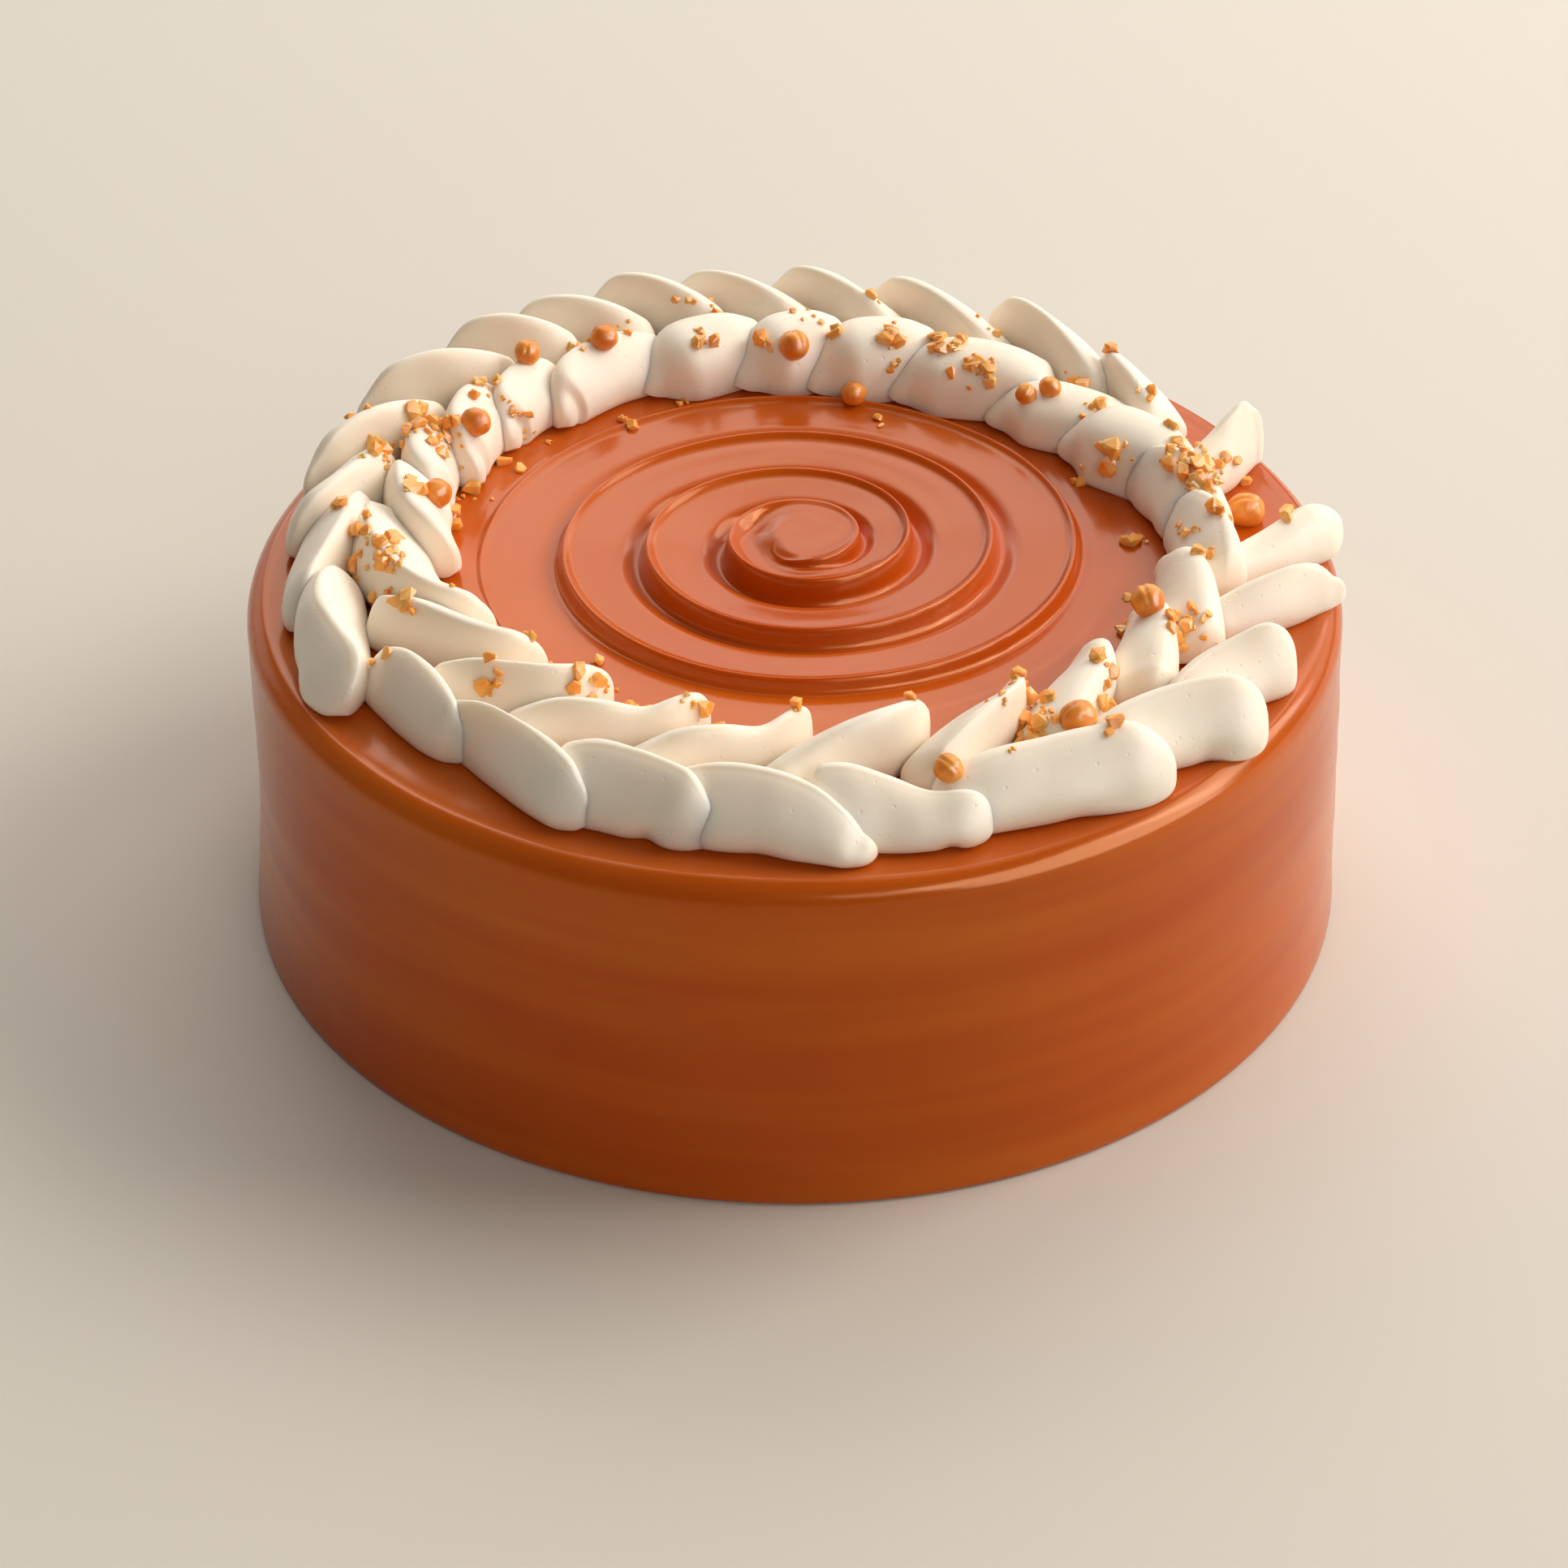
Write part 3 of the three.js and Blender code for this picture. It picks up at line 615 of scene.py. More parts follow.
def join_lines(mesh, centre, line, following):
    """The faces between two lines, in the order of their rows. Returns the last point of each."""
    here = there = centre
    i = j = 0
    while i < len(line) or j < len(following):
        order_here = line[i][0] if i < len(line) else math.inf
        order_there = following[j][0] if j < len(following) else math.inf
        if abs(order_here - order_there) < SAME_ROW:
            corners = [here, line[i][1], following[j][1], there]
            here, there = line[i][1], following[j][1]
            i += 1
            j += 1
        elif order_here < order_there:
            corners = [here, line[i][1], there]
            here = line[i][1]
            i += 1
        else:
            corners = [here, following[j][1], there]
            there = following[j][1]
            j += 1
        corners = list(dict.fromkeys(corners))
        if len(corners) > 2:
            mesh.faces.new(corners)
    return here, there


def make_glazed_cake(glaze):
    """Lines of points all round the cake, joined from the centre out."""
    mesh = bmesh.new()
    deep_layer = mesh.verts.layers.float.new("groove")
    centre = mesh.verts.new((SWIRL_X * MM, SWIRL_Y * MM, glaze.height + CURL_RISE * MM))
    bottom = mesh.verts.new((0, 0, 0))
    lines = []
    for sector in range(CAKE_SECTORS):
        line = []
        for order, point, deep in cake_line(glaze, sector):
            vertex = mesh.verts.new(Vector(point) * MM)
            vertex[deep_layer] = deep
            line.append((order, vertex))
        lines.append(line)
    for sector, line in enumerate(lines):
        following = lines[(sector + 1) % CAKE_SECTORS]
        # Over the seam the spiral has gone one turn further
        shift = 1 if sector == CAKE_SECTORS - 1 else 0
        following = [(order - shift if order < RING_ORDER else order, vertex) for order, vertex in following]
        here, there = join_lines(mesh, centre, line, following)
        mesh.faces.new([here, bottom, there])
    return piece_of(mesh, "glazed_cake_fine")


# The wreath of cream

def stroke_list(cream):
    """Both rings of strokes as a hand piped them, each a little higher or lower than the next."""
    draw = repeatable_random(SEED)
    strokes = []
    for ring, is_outer in ((OUTER_STROKES, True), (INNER_STROKES, False)):
        for index, (degrees, reach, overlap, shape) in enumerate(ring):
            spacing = (degrees - ring[index - 1][0]) % 360
            taller = TALL_MORE * bell(degrees - TALL_AT, TALL_REACH) if is_outer else 0
            strokes.append({
                "end": math.radians(degrees),
                "sweep": math.radians(spacing + overlap),
                "reach": reach,
                "high": cream.stroke_height / MM * (HEIGHT_LEAST + HEIGHT_SPREAD * draw() + taller),
                "shape": SHAPES[shape],
                "outer": is_outer,
                "starts_inside": shape in INSIDE_SHAPES,
                "number": len(strokes),
            })
    return strokes


def stroke_point(stroke, along):
    """Where a stroke's middle line is on the plan, in mm."""
    turn = stroke["shape"]["turn"]
    bend = stroke["shape"]["bend"]
    swept = mix(along, math.sin(along * math.pi / 2), turn)
    turned = 1 - math.cos(along * math.pi / 2)
    if stroke["outer"]:
        out = mix(math.copysign(abs(along) ** bend, along), turned, turn)
        start = BRAID_RADIUS + (INSIDE_START if stroke["starts_inside"] else OUTER_START)
    else:
        early = INNER_EARLY * (1 - (1 - along) ** 3) + (1 - INNER_EARLY) * along**5
        out = mix(early, turned, turn)
        start = BRAID_RADIUS + INNER_START
    return on_circle(stroke["end"] - stroke["sweep"] * (1 - swept), mix(start, stroke["reach"], out))


def stroke_ring(cream, stroke, along, beyond, past):
    """The points round a stroke at one place. Near its ends it rounds off to a thin upright edge."""
    shape = stroke["shape"]
    centre = stroke_point(stroke, along)
    ahead = (stroke_point(stroke, along + 0.01) - stroke_point(stroke, along - 0.01)).normalized()
    left = Vector((-ahead.y, ahead.x))
    shrink = math.sqrt(max(1 - past * past, 0))
    full = stroke["high"] * curve_at(STATIONS, shape["high"], along)
    top = full * mix(TIP_TOP - TIP_TOP_ROUNDED * shape["puff"], 1, shrink)
    bottom = full * TIP_FOOT * (1 - shrink) ** 1.5
    ridge = cream.ridge_half_width / MM * shape["ridge"] * mix(TIP_RIDGE, 1, shrink)
    half = cream.stroke_half_width / MM * curve_at(STATIONS, shape["wide"], along) * shrink
    to_braid = 1 if stroke["outer"] else -1
    lean = curve_at(STATIONS, shape["lean"], along) * to_braid
    centre += ahead * beyond
    round_from = 1 - ridge / (top - bottom)

    def flank_point(side, out, up):
        z = mix(bottom, top, up)
        over = max(up - round_from, 0) / (1 - round_from)
        puffed = math.sqrt(max(1 - (abs(up - BELLY_UP) / (1 - BELLY_UP)) ** BELLY_POWER, 0))
        share = mix(*BRAID_FLANK, along) if side == to_braid else mix(*FREE_FLANK, along * along)
        reach = max(half * share - ridge, 0) * mix(out, puffed, shape["puff"])
        reach += ridge * math.sqrt(max(1 - over * over, 0))
        place = centre + left * (side * reach + lean * (z / stroke["high"]) ** LEAN_POWER)
        slow = (place.x / SOFT_WAVE_LENGTH, place.y / SOFT_WAVE_LENGTH)
        soft = SOFT_WAVE * noise.noise(Vector((*slow, z / SOFT_WAVE_LENGTH + stroke["number"])))
        if side == -to_braid:
            for dent_along, dent_up, reach_along, reach_up, depth in shape["dents"]:
                soft -= depth * bell(along - dent_along, reach_along) * bell(up - dent_up, reach_up)
        place += left * side * soft * shrink
        return Vector((place.x, place.y, z))

    ring = [flank_point(-1, out, up) for out, up in FLANK]
    ring.append(flank_point(0, 0, 1))
    ring += [flank_point(1, out, up) for out, up in reversed(FLANK)]
    return ring


def stroke_places(stroke):
    """Along a stroke: the share of its path, how many mm past the path's end, and how far into the
    rounding of its start or its tip, from 0 to 1."""
    steps = [stroke_point(stroke, step / PATH_STEPS) for step in range(PATH_STEPS + 1)]
    path = sum((after - before).length for before, after in zip(steps, steps[1:]))
    whole = path + TIP_LENGTH
    tip = min(stroke["shape"]["tip"], TIP_MOST * whole)
    start = START_ROUND / whole
    tip_from = 1 - tip / whole
    shares = [start * (1 - math.sin(math.radians(tilt))) for tilt in range(80, 0, -10)]
    shares += [mix(start, tip_from, step / STROKE_RINGS) for step in range(STROKE_RINGS)]
    shares += [1 - tip / whole * (1 - math.sin(math.radians(tilt))) for tilt in range(0, 88, 8)]
    for share in shares:
        travelled = share * whole
        past = max((travelled - whole + tip) / tip, 1 - travelled / START_ROUND, 0)
        yield min(travelled / path, 1), max(travelled - path, 0), past


def make_strokes(cream, glaze, is_outer, name):
    """One ring of strokes, each a closed skin of its own."""
    mesh = bmesh.new()
    foot = glaze.height / MM + STROKE_FOOT
    for stroke in stroke_list(cream):
        if stroke["outer"] != is_outer:
            continue
        rings = []
        for along, beyond, past in stroke_places(stroke):
            ring = stroke_ring(cream, stroke, along, beyond, past)
            rings.append([mesh.verts.new((p.x * MM, p.y * MM, (p.z + foot) * MM)) for p in ring])
        for ring, following in zip(rings, rings[1:]):
            for k in range(len(ring)):
                after = (k + 1) % len(ring)
                mesh.faces.new([ring[k], following[k], following[after], ring[after]])
        mesh.faces.new(rings[0])
        mesh.faces.new(rings[-1][::-1])
    return piece_of(mesh, name)


# Praline

def surface_of(*pieces):
    """One search tree of the pieces that praline lies on, in mm."""
    points = []
    faces = []
    for piece in pieces:
        first = len(points)
        points += [vertex.co / MM for vertex in piece.data.vertices]
        faces += [[first + corner for corner in face.vertices] for face in piece.data.polygons]
    return BVHTree.FromPolygons(points, faces)


def praline_ground():
    """The pieces that praline lies on, as they are now."""
    names = ("glazed_cake_fine", "outer_strokes_fine", "inner_strokes_fine")
    return surface_of(*[bpy.data.objects[name] for name in names])


def make_pearls(praline, glaze, surface):
    """Each pearl is a roasted, sugared kernel, not quite round, with a crease."""
    mesh = bmesh.new()
    for number, (degrees, distance, radius) in enumerate(PEARLS):
        x, y = on_circle(math.radians(degrees), distance)
        hit = surface.ray_cast(Vector((x, y, 2 * glaze.height / MM)), Vector((0, 0, -1)))[0]
        centre = hit + Vector((0, 0, radius * PEARL_UP))
        ball = bmesh.ops.create_icosphere(mesh, subdivisions=4, radius=1)["verts"]
        stretch = Vector(PEARL_STRETCH)
        for vertex in ball:
            way = vertex.co.normalized()
            swell = 1 + PEARL_SWELL * noise.noise(way * 1.6 + Vector((number, 0, 0)))
            swell += PEARL_BUMPS * noise.noise(way * 5 + Vector((0, number, 0)))
            crease = bell(way.y + 0.25 * way.z, PEARL_CREASE_WIDTH)
            swell -= PEARL_CREASE * crease * smooth_step(-0.2, 0.6, way.z)
            vertex.co = way * swell * stretch
        turn = Matrix.Rotation(number * 1.3, 4, "Z") @ Matrix.Rotation(0.5 * math.sin(number), 4, "X")
        bmesh.ops.transform(mesh, matrix=Matrix.Scale(radius * praline.pearl_scale, 4) @ turn, verts=ball)
        bmesh.ops.translate(mesh, vec=centre, verts=ball)
    bmesh.ops.scale(mesh, vec=Vector((MM, MM, MM)), verts=mesh.verts)
    return piece_of(mesh, "praline_pearls_fine")


def add_chip(mesh, centre, up, size, draw):
    """A chip of broken praline: a few corners at random, and flat breaks between them."""
    corners = []
    for _ in range(CHIP_CORNERS):
        way = Vector((draw() - 0.5, draw() - 0.5, draw() - 0.5)).normalized()
        corners.append(mesh.verts.new(way * (0.86 + 0.28 * draw())))
    stretch = Matrix.Diagonal((0.85 + 0.5 * draw(), 0.75 + 0.3 * draw(), 0.6 + 0.3 * draw(), 1))
    turn = up.to_track_quat("Z", "Y").to_matrix().to_4x4() @ Matrix.Rotation(TURN * draw(), 4, "Z")
    place = Matrix.Translation(centre) @ turn @ Matrix.Scale(size, 4) @ stretch
    bmesh.ops.transform(mesh, matrix=place, verts=corners)
    hull = bmesh.ops.convex_hull(mesh, input=corners)
    inside = [v for v in hull["geom_interior"] if isinstance(v, bmesh.types.BMVert)]
    bmesh.ops.delete(mesh, geom=inside, context="VERTS")


def make_crumbs(praline, glaze, surface):
    """The chips of each group fall on to the cream or the glaze, and sink in a little."""
    mesh = bmesh.new()
    draw = repeatable_random(SEED)
    top = glaze.height / MM
    fall = Vector(CRUMB_FALL).normalized()
    for degrees, distance, over, spread, count in CRUMB_GROUPS:
        x, y = on_circle(math.radians(degrees), distance)
        for _ in range(round(count * praline.crumb_share)):
            scatter = Vector((draw() - 0.5, draw() - 0.5, draw() - 0.5)) * 2 * spread
            above = Vector((x, y, top + over)) + scatter - fall * FALL_HEIGHT
            place, up = surface.ray_cast(above, fall)[:2]
            size = praline.crumb_size / MM * (CRUMB_LEAST + CRUMB_SPREAD * draw() ** CRUMB_POWER)
            add_chip(mesh, place + up * size * (0.5 - CRUMB_SUNK), up, size, draw)
    bmesh.ops.scale(mesh, vec=Vector((MM, MM, MM)), verts=mesh.verts)
    return piece_of(mesh, "praline_crumbs_fine", smooth=False)


def object_of(mesh, name):
    """A new object from a mesh, at the origin."""
    data = bpy.data.meshes.new(name)
    mesh.to_mesh(data)
    mesh.free()
    made = bpy.data.objects.new(name, data)
    bpy.context.scene.collection.objects.link(made)
    return made


def piece_of(mesh, name, smooth=True):
    """A new piece of the cake, on its one body."""
    bmesh.ops.recalc_face_normals(mesh, faces=mesh.faces)
    for face in mesh.faces:
        face.smooth = smooth
    piece = object_of(mesh, name)
    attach(piece, "root")
    return piece


# Materials

WHITE = ("Color", (1, 1, 1, 1))
BAND_SCALE = (7, 7, 95)
HOLE_SCALE = 320


def new_group(name, inputs, outputs):
    """A shader node group with named inputs (kind, default) and outputs (kind)."""
    group = bpy.data.node_groups.new(name, "ShaderNodeTree")
    for label, (kind, default) in inputs.items():
        socket = group.interface.new_socket(label, in_out="INPUT", socket_type=f"NodeSocket{kind}")
        socket.default_value = default
    for label, kind in outputs.items():
        group.interface.new_socket(label, in_out="OUTPUT", socket_type=f"NodeSocket{kind}")
    entry = group.nodes.new("NodeGroupInput")
    leave = group.nodes.new("NodeGroupOutput")
    return group, entry, leave


def noise_node(tree, scale, detail=3, roughness=0.5):
    """Noise over the object's own space, in metres."""
    place = tree.nodes.new("ShaderNodeTexCoord")
    texture = tree.nodes.new("ShaderNodeTexNoise")
    texture.inputs["Scale"].default_value = scale
    texture.inputs["Detail"].default_value = detail
    texture.inputs["Roughness"].default_value = roughness
    tree.links.new(place.outputs["Object"], texture.inputs["Vector"])
    return texture


def spread_node(tree, value, low, high):
    """A node that takes low to 0 and high to 1, and stays there beyond."""
    spread = tree.nodes.new("ShaderNodeMapRange")
    spread.inputs["From Min"].default_value = low
    spread.inputs["From Max"].default_value = high
    tree.links.new(value, spread.inputs["Value"])
    return spread


def math_value(tree, operation, first, second):
    """What an operation makes of two values."""
    node = tree.nodes.new("ShaderNodeMath")
    node.operation = operation
    tree.links.new(first, node.inputs[0])
    tree.links.new(second, node.inputs[1])
    return node.outputs["Value"]


def mixed_colour(tree, share, first, second):
    """A node that mixes two colours. Where the second is None, it is set on the node afterwards."""
    blend = tree.nodes.new("ShaderNodeMix")
    blend.data_type = "RGBA"
    tree.links.new(share, blend.inputs["Factor"])
    tree.links.new(first, blend.inputs["A"])
    if second is not None:
        tree.links.new(second, blend.inputs["B"])
    return blend


def pass_colours(group, entry, leave, value, low, high):
    """The group puts out its first colour, and up to Amount its second where the value is high."""
    spread = spread_node(group, value, low, high)
    group.links.new(entry.outputs["Amount"], spread.inputs["To Max"])
    colours = entry.outputs["Colour"], entry.outputs["Second"]
    blend = mixed_colour(group, spread.outputs["Result"], *colours)
    group.links.new(blend.outputs["Result"], leave.inputs["Colour"])


def make_tone_group():
    """Two colours that pass into each other in soft patches."""
    inputs = {"Colour": WHITE, "Second": WHITE, "Patch scale": ("Float", 30), "Amount": ("Float", 0.5)}
    group, entry, leave = new_group("soft_patches", inputs, {"Colour": "Color"})
    patches = noise_node(group, 30)
    group.links.new(entry.outputs["Patch scale"], patches.inputs["Scale"])
    pass_colours(group, entry, leave, patches.outputs["Fac"], 0.35, 0.65)
    return group


def make_band_group():
    """Faint bands that run round the side at one height, where a spatula smoothed the glaze."""
    inputs = {"Colour": WHITE, "Second": WHITE, "Amount": ("Float", 0.5)}
    group, entry, leave = new_group("brushed_bands", inputs, {"Colour": "Color"})
    bands = noise_node(group, 1, detail=2)
    flatten = group.nodes.new("ShaderNodeMapping")
    flatten.inputs["Scale"].default_value = BAND_SCALE
    place = bands.inputs["Vector"].links[0].from_socket
    group.links.new(place, flatten.inputs["Vector"])
    group.links.new(flatten.outputs["Vector"], bands.inputs["Vector"])
    pass_colours(group, entry, leave, bands.outputs["Fac"], 0.42, 0.7)
    return group


def make_skin_group():
    """Fine unevenness of a soft surface, with small round air holes, as a height."""
    inputs = {"Grain scale": ("Float", 400), "Grain": ("Float", 0.3), "Holes": ("Float", 0.5)}
    group, entry, leave = new_group("soft_skin", inputs, {"Height": "Float"})
    grain = noise_node(group, 400, detail=5)
    group.links.new(entry.outputs["Grain scale"], grain.inputs["Scale"])
    grain_part = math_value(group, "MULTIPLY", grain.outputs["Fac"], entry.outputs["Grain"])
    place = group.nodes.new("ShaderNodeTexCoord")
    cells = group.nodes.new("ShaderNodeTexVoronoi")
    cells.inputs["Scale"].default_value = HOLE_SCALE
    group.links.new(place.outputs["Object"], cells.inputs["Vector"])
    hole = spread_node(group, cells.outputs["Distance"], 0.05, 0.13)
    hole.interpolation_type = "SMOOTHSTEP"
    hole_part = math_value(group, "MULTIPLY", hole.outputs["Result"], entry.outputs["Holes"])
    total = math_value(group, "ADD", grain_part, hole_part)
    group.links.new(total, leave.inputs["Height"])
    return group


def new_material(name):
    """A new material, its nodes and its Principled BSDF."""
    material = bpy.data.materials.new(name)
    material.use_nodes = True
    return material, material.node_tree, material.node_tree.nodes["Principled BSDF"]


def group_node(tree, name, maker, **values):
    """A node of the group with this name, which is made the first time, with its own values."""
    node = tree.nodes.new("ShaderNodeGroup")
    node.node_tree = bpy.data.node_groups.get(name) or maker()
    for label, value in values.items():
        node.inputs[label.replace("_", " ")].default_value = value
    return node


def add_bump(tree, shader, height, strength, distance):
    """A height in metres under the shader's normal."""
    bump = tree.nodes.new("ShaderNodeBump")
    bump.inputs["Strength"].default_value = strength
    bump.inputs["Distance"].default_value = distance
    tree.links.new(height, bump.inputs["Height"])
    tree.links.new(bump.outputs["Normal"], shader.inputs["Normal"])


def glaze_material(glaze):
    """Glossy and slightly clear, with the colour of the grooves where the mesh has them."""
    material, tree, shader = new_material("butterscotch_glaze")
    tone = group_node(tree, "soft_patches", make_tone_group, Colour=(*glaze.colour, 1),
                      Second=(*glaze.second_colour, 1), Patch_scale=22, Amount=0.5)
    groove = tree.nodes.new("ShaderNodeAttribute")
    groove.attribute_name = "groove"
    bands = group_node(tree, "brushed_bands", make_band_group, Second=(*glaze.band_colour, 1), Amount=0.5)
    tree.links.new(tone.outputs["Colour"], bands.inputs["Colour"])
    deeper = mixed_colour(tree, groove.outputs["Fac"], bands.outputs["Colour"], None)
    deeper.inputs["B"].default_value = (*glaze.groove_colour, 1)
    tree.links.new(deeper.outputs["Result"], shader.inputs["Base Color"])
    shader.inputs["Roughness"].default_value = 0.2
    shader.inputs["Specular IOR Level"].default_value = 0.35
    shader.inputs["Specular Tint"].default_value = (*glaze.gloss_colour, 1)
    shader.inputs["Subsurface Weight"].default_value = 0.25
    shader.inputs["Subsurface Radius"].default_value = (1, 0.35, 0.1)
    shader.inputs["Subsurface Scale"].default_value = 0.003
    shader.inputs["Coat Weight"].default_value = 0.08
    shader.inputs["Coat Roughness"].default_value = 0.08
    skin = group_node(tree, "soft_skin", make_skin_group, Grain_scale=90, Grain=1, Holes=0)
    add_bump(tree, shader, skin.outputs["Height"], 0.12, 0.001)
    return material


def cream_material(cream):
    """Soft and matt, with small air holes."""
    material, tree, shader = new_material("piped_cream")
    tone = group_node(tree, "soft_patches", make_tone_group, Colour=(*cream.colour, 1),
                      Second=(*cream.second_colour, 1), Patch_scale=60, Amount=0.6)
    tree.links.new(tone.outputs["Colour"], shader.inputs["Base Color"])
    shader.inputs["Roughness"].default_value = 0.55
    shader.inputs["Subsurface Weight"].default_value = 0.5
    shader.inputs["Subsurface Radius"].default_value = (1, 0.7, 0.5)
    shader.inputs["Subsurface Scale"].default_value = 0.003
    skin = group_node(tree, "soft_skin", make_skin_group, Grain_scale=350, Grain=0.5, Holes=1)
    add_bump(tree, shader, skin.outputs["Height"], 0.25, 0.0005)
    return material


def praline_material(name, colour, second):
    """Roasted sugar in uneven patches of two colours."""
    material, tree, shader = new_material(name)
    tone = group_node(tree, "soft_patches", make_tone_group, Colour=(*colour, 1),
                      Second=(*second, 1), Patch_scale=260, Amount=1)
    tree.links.new(tone.outputs["Colour"], shader.inputs["Base Color"])
    shader.inputs["Roughness"].default_value = 0.32
    shader.inputs["Subsurface Weight"].default_value = 0.5
    shader.inputs["Subsurface Radius"].default_value = (1, 0.5, 0.15)
    shader.inputs["Subsurface Scale"].default_value = 0.0015
    skin = group_node(tree, "soft_skin", make_skin_group, Grain_scale=900, Grain=1, Holes=0)
    add_bump(tree, shader, skin.outputs["Height"], 0.4, 0.0003)
    return material


# Properties

def length(name, description, default, low=0.0, high=0.5):
    return FloatProperty(
        name=name, description=description, default=default, min=low, max=high, unit="LENGTH", precision=5
    )


def colour_of(name, description, default):
    return FloatVectorProperty(
        name=name, description=description, default=default, min=0, max=1, size=3, subtype="COLOR"
    )


def share_of(name, description, low, high):
    return FloatProperty(name=name, description=description, default=1, min=low, max=high)


def power(name, description, default):
    return FloatProperty(name=name, description=description, default=default, min=0, unit="POWER")


class GlazeSettings(bpy.types.PropertyGroup):
    height: length("Height", "From the base to the glaze's top", 0.0645)
    top_radius: length("Top radius", "Radius of the cake at its top", 0.1)
    base_radius: length("Base radius", "Radius of the cake at its base", 0.1026)
    edge_round: length("Edge rounding", "Radius of the rounding round the top", 0.0038)
    crest_rise: length("Crest rise", "Height of the spiral's crest near its start", 0.0042)
    lip_rise: length("Lip rise", "Height of the thin lip along the crest", 0.0005)
    groove_depth: length("Groove depth", "Depth of the groove at the foot of each turn", 0.0022)
    colour: colour_of("Colour", "Colour of the glaze", (0.48, 0.07, 0.002))
    second_colour: colour_of("Second colour", "Colour of the glaze where it is thin", (0.53, 0.095, 0.004))
    band_colour: colour_of("Band colour", "Colour of the faint bands round the side", (0.66, 0.16, 0.012))
    gloss_colour: colour_of("Gloss colour", "Colour of the glaze's gloss", (1, 0.6, 0.28))
    groove_colour: colour_of("Groove colour", "Colour of the glaze in the grooves", (0.56, 0.07, 0.001))


class CreamSettings(bpy.types.PropertyGroup):
    stroke_height: length("Stroke height", "Height of a stroke's ridge over the glaze", 0.0125)
    stroke_half_width: length("Half width", "Half the width of a stroke's body", 0.0062)
    ridge_half_width: length("Ridge half width", "Half the thickness of a stroke's ridge", 0.0006)
    colour: colour_of("Colour", "Colour of the cream", (0.93, 0.82, 0.68))
    second_colour: colour_of("Second colour", "Colour of the cream in faint patches", (0.95, 0.87, 0.75))


class PralineSettings(bpy.types.PropertyGroup):
    crumb_size: length("Crumb size", "Radius of a large crumb", 0.0018)
    crumb_share: share_of("Share of crumbs", "How many of the crumbs are made", 0, 1)
    pearl_scale: share_of("Pearl scale", "Size of the pearls against their own size", 0.5, 1.1)
    pearl_colour: colour_of("Pearl colour", "Colour of the pearls", (0.74, 0.21, 0.008))
    pearl_second: colour_of("Pearl second colour", "Colour of the pearls in patches", (0.9, 0.38, 0.05))
    crumb_colour: colour_of("Crumb colour", "Colour of the crumbs", (0.95, 0.33, 0.03))
    crumb_second: colour_of("Crumb second colour", "Colour of the crumbs in patches", (1, 0.52, 0.14))


class StageSettings(bpy.types.PropertyGroup):
    floor_colour: colour_of("Floor colour", "Colour of the floor", (0.66, 0.62, 0.55))
    key_power: power("Key light", "Power of the right light", 43)
    back_power: power("Back light", "Power of the back light", 27.5)
    top_power: power("Top light", "Power of the light overhead", 14)
    front_power: power("Front light", "Power of the front panel", 6.5)
    left_power: power("Left light", "Power of the left panel", 4)
    right_power: power("Back right", "Power of the right panel", 6)
    shine_power: power("Shine", "Power of the panel for the shine", 150)
    lens: FloatProperty(name="Lens", description="The camera's focal length", default=92.25, unit="CAMERA")


# Operators

class CAKE_OT_glazed_cake(bpy.types.Operator):
    """Make the glazed cake with the spiral in its top"""

    bl_idname = "cake.glazed_cake"
    bl_label = "Glazed cake"

    def execute(self, context):
        glaze = context.scene.cake_glaze
        piece = make_glazed_cake(glaze)
        piece.data.materials.append(glaze_material(glaze))
        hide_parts("glazed_cake")
        return {"FINISHED"}


class CAKE_OT_wreath(bpy.types.Operator):
    """Make both rings of cream strokes"""

    bl_idname = "cake.wreath"
    bl_label = "Cream wreath"

    def execute(self, context):
        cream = context.scene.cake_cream
        finish = cream_material(cream)
        for is_outer, name in ((True, "outer_stroke"), (False, "inner_stroke")):
            piece = make_strokes(cream, context.scene.cake_glaze, is_outer, f"{name}s_fine")
            piece.data.materials.append(finish)
            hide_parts(*[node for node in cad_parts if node.startswith(name)])
        return {"FINISHED"}


class CAKE_OT_pearls(bpy.types.Operator):
    """Make the praline pearls that lie in the cream"""

    bl_idname = "cake.pearls"
    bl_label = "Praline pearls"

    def execute(self, context):
        praline = context.scene.cake_praline
        piece = make_pearls(praline, context.scene.cake_glaze, praline_ground())
        piece.data.materials.append(
            praline_material("praline_pearl", praline.pearl_colour, praline.pearl_second)
        )
        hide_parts(*[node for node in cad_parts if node.startswith("praline_pearl")])
        return {"FINISHED"}


class CAKE_OT_crumbs(bpy.types.Operator):
    """Strew the praline crumbs over the cream and the glaze"""

    bl_idname = "cake.crumbs"
    bl_label = "Praline crumbs"

    def execute(self, context):
        praline = context.scene.cake_praline
        piece = make_crumbs(praline, context.scene.cake_glaze, praline_ground())
        piece.data.materials.append(
            praline_material("praline_crumb", praline.crumb_colour, praline.crumb_second)
        )
        return {"FINISHED"}


class CAKE_OT_stage(bpy.types.Operator):
    """Make the floor, the lights and the camera"""

    bl_idname = "cake.stage"
    bl_label = "Stage"

    def execute(self, context):
        stage = context.scene.cake_stage
        make_floor(stage)
        make_lights(stage)
        make_camera(stage)
        return {"FINISHED"}


# The stage

FLOOR_SIZE = 6
CAMERA_PITCH = 34.59
CAMERA_YAW = 0.796
CAMERA_ROLL = -0.231
CAMERA_DISTANCE = 0.7631
CAMERA_AIM = (-0.00208, 0, 0.01723)
SENSOR_WIDTH = 36

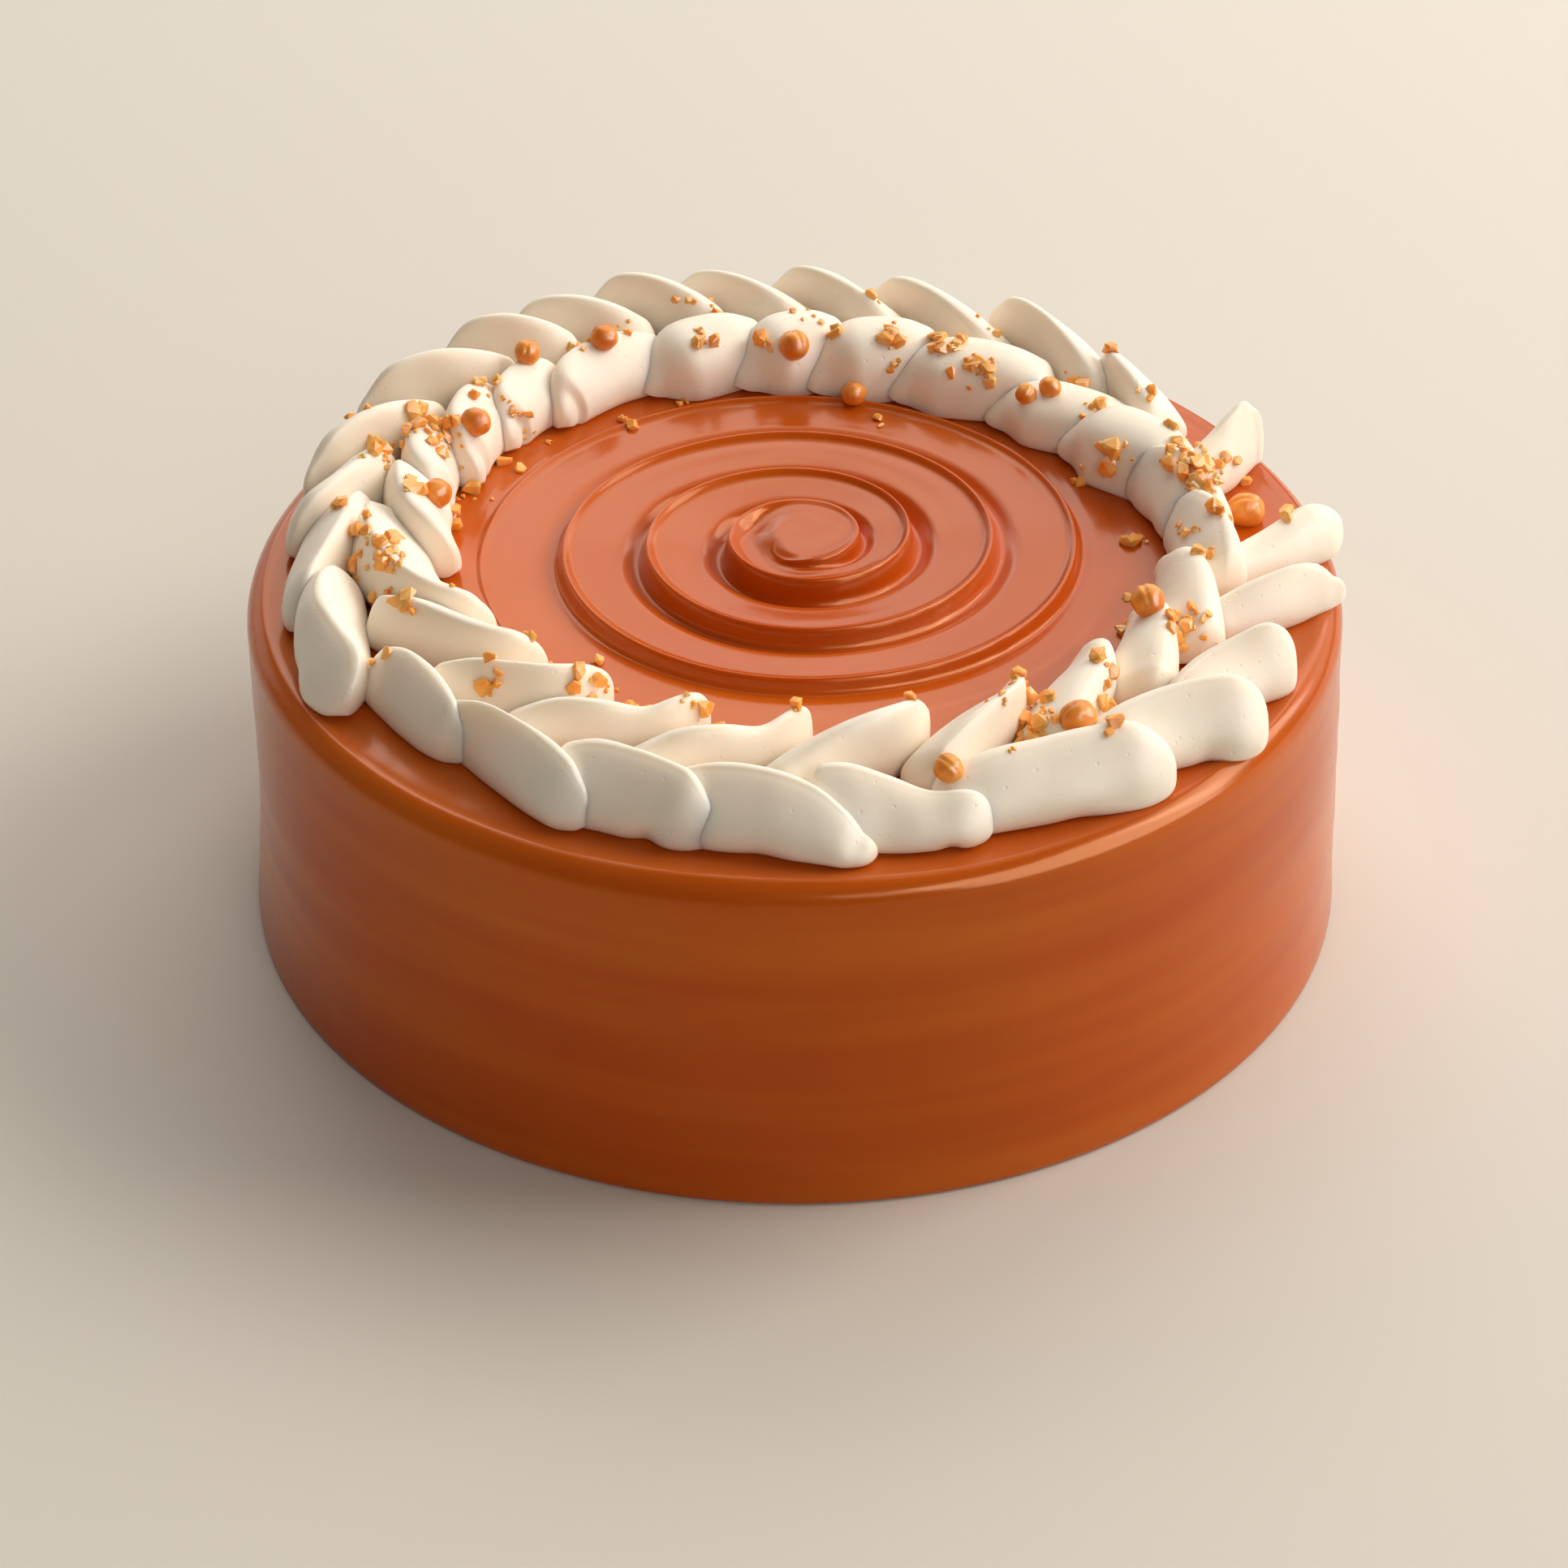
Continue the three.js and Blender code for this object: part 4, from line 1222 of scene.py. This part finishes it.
# Each soft light: where it stands in metres, its width and height, its power's name and its colour
LIGHTS = {
    "right_light": ((1.8, 0.45, 1.35), 1.5, 1.35, "key_power", (1, 0.95, 0.88)),
    "back_light": ((0.2, 2.2, 1.5), 3.1, 1.7, "back_power", (1, 0.95, 0.9)),
    "top_light": ((0.15, 1.25, 1.85), 1.8, 1.8, "top_power", (1, 0.97, 0.93)),
    "front_panel": ((0.6, -1.75, 1.3), 0.8, 0.6, "front_power", (1, 0.95, 0.9)),
    "left_panel": ((-1.2, 1.95, 0.5), 2, 0.85, "left_power", (1, 0.96, 0.92)),
    "right_panel": ((1.7, 1.6, 0.85), 1.5, 1, "right_power", (1, 0.95, 0.88)),
    "shine_panel": ((1.83, -1.06, 1.15), 2.6, 2.1, "shine_power", (1, 0.96, 0.92)),
}
LIGHTS_AIM = (0, 0, 0.06)
GLOSS_ONLY = ("shine_panel",)
ROOM_COLOUR = (0.95, 0.86, 0.76, 1)
ROOM_STRENGTH = 0.18


def make_floor(stage):
    """A plain pale floor under the cake."""
    mesh = bmesh.new()
    bmesh.ops.create_grid(mesh, x_segments=1, y_segments=1, size=FLOOR_SIZE / 2)
    floor = object_of(mesh, "floor")
    material, _, shader = new_material("floor")
    shader.inputs["Base Color"].default_value = (*stage.floor_colour, 1)
    shader.inputs["Roughness"].default_value = 0.8
    floor.data.materials.append(material)


def add_light(name, place, width, height, watts, colour):
    """A soft light that is turned to the cake's top."""
    light = bpy.data.lights.new(name, "AREA")
    light.shape = "RECTANGLE"
    light.size = width
    light.size_y = height
    light.energy = watts
    light.color = colour
    lamp = bpy.data.objects.new(name, light)
    lamp.location = place
    lamp.rotation_euler = (Vector(LIGHTS_AIM) - Vector(place)).to_track_quat("-Z", "Y").to_euler()
    # The shine panel shows in the gloss alone
    lamp.visible_diffuse = name not in GLOSS_ONLY
    bpy.context.scene.collection.objects.link(lamp)


def make_lights(stage):
    """The soft lights and the pale room around."""
    for name, (place, width, height, setting, colour) in LIGHTS.items():
        add_light(name, place, width, height, getattr(stage, setting), colour)
    world = bpy.data.worlds.new("pale_room")
    world.use_nodes = True
    background = world.node_tree.nodes["Background"]
    background.inputs["Color"].default_value = ROOM_COLOUR
    background.inputs["Strength"].default_value = ROOM_STRENGTH
    bpy.context.scene.world = world
    bpy.context.scene.view_settings.view_transform = "Standard"


def make_camera(stage):
    """A camera that looks down on the cake's front."""
    pitch = math.radians(CAMERA_PITCH)
    yaw = math.radians(CAMERA_YAW)
    look = Vector((math.sin(yaw) * math.cos(pitch), math.cos(yaw) * math.cos(pitch), -math.sin(pitch)))
    lens = bpy.data.cameras.new("camera")
    lens.lens = stage.lens
    lens.sensor_width = SENSOR_WIDTH
    camera = bpy.data.objects.new("camera", lens)
    aimed = look.to_track_quat("-Z", "Y").to_matrix().to_4x4()
    roll = Matrix.Rotation(math.radians(CAMERA_ROLL), 4, "Z")
    camera.matrix_world = Matrix.Translation(Vector(CAMERA_AIM) - look * CAMERA_DISTANCE) @ aimed @ roll
    bpy.context.scene.collection.objects.link(camera)
    bpy.context.scene.camera = camera


class CAKE_PT_panel(bpy.types.Panel):
    """The cake's pieces and their settings"""

    bl_label = "Butterscotch cake"
    bl_space_type = "VIEW_3D"
    bl_region_type = "UI"
    bl_category = "Cake"

    def draw(self, context):
        for settings in (GlazeSettings, CreamSettings, PralineSettings, StageSettings):
            box = self.layout.box()
            group = getattr(context.scene, SETTINGS[settings])
            for name in settings.__annotations__:
                box.prop(group, name)
        for operator in OPERATORS:
            self.layout.operator(operator.bl_idname)


SETTINGS = {
    GlazeSettings: "cake_glaze",
    CreamSettings: "cake_cream",
    PralineSettings: "cake_praline",
    StageSettings: "cake_stage",
}
OPERATORS = (
    CAKE_OT_glazed_cake,
    CAKE_OT_wreath,
    CAKE_OT_pearls,
    CAKE_OT_crumbs,
    CAKE_OT_stage,
)


def register():
    for settings, name in SETTINGS.items():
        bpy.utils.register_class(settings)
        setattr(bpy.types.Scene, name, PointerProperty(type=settings))
    for operator in OPERATORS:
        bpy.utils.register_class(operator)
    bpy.utils.register_class(CAKE_PT_panel)


def unregister():
    bpy.utils.unregister_class(CAKE_PT_panel)
    for operator in reversed(OPERATORS):
        bpy.utils.unregister_class(operator)
    for settings, name in SETTINGS.items():
        delattr(bpy.types.Scene, name)
        bpy.utils.unregister_class(settings)


def main():
    register()
    bpy.ops.cake.glazed_cake()
    bpy.ops.cake.wreath()
    bpy.ops.cake.pearls()
    bpy.ops.cake.crumbs()
    bpy.ops.cake.stage()


if __name__ == "__main__":
    main()
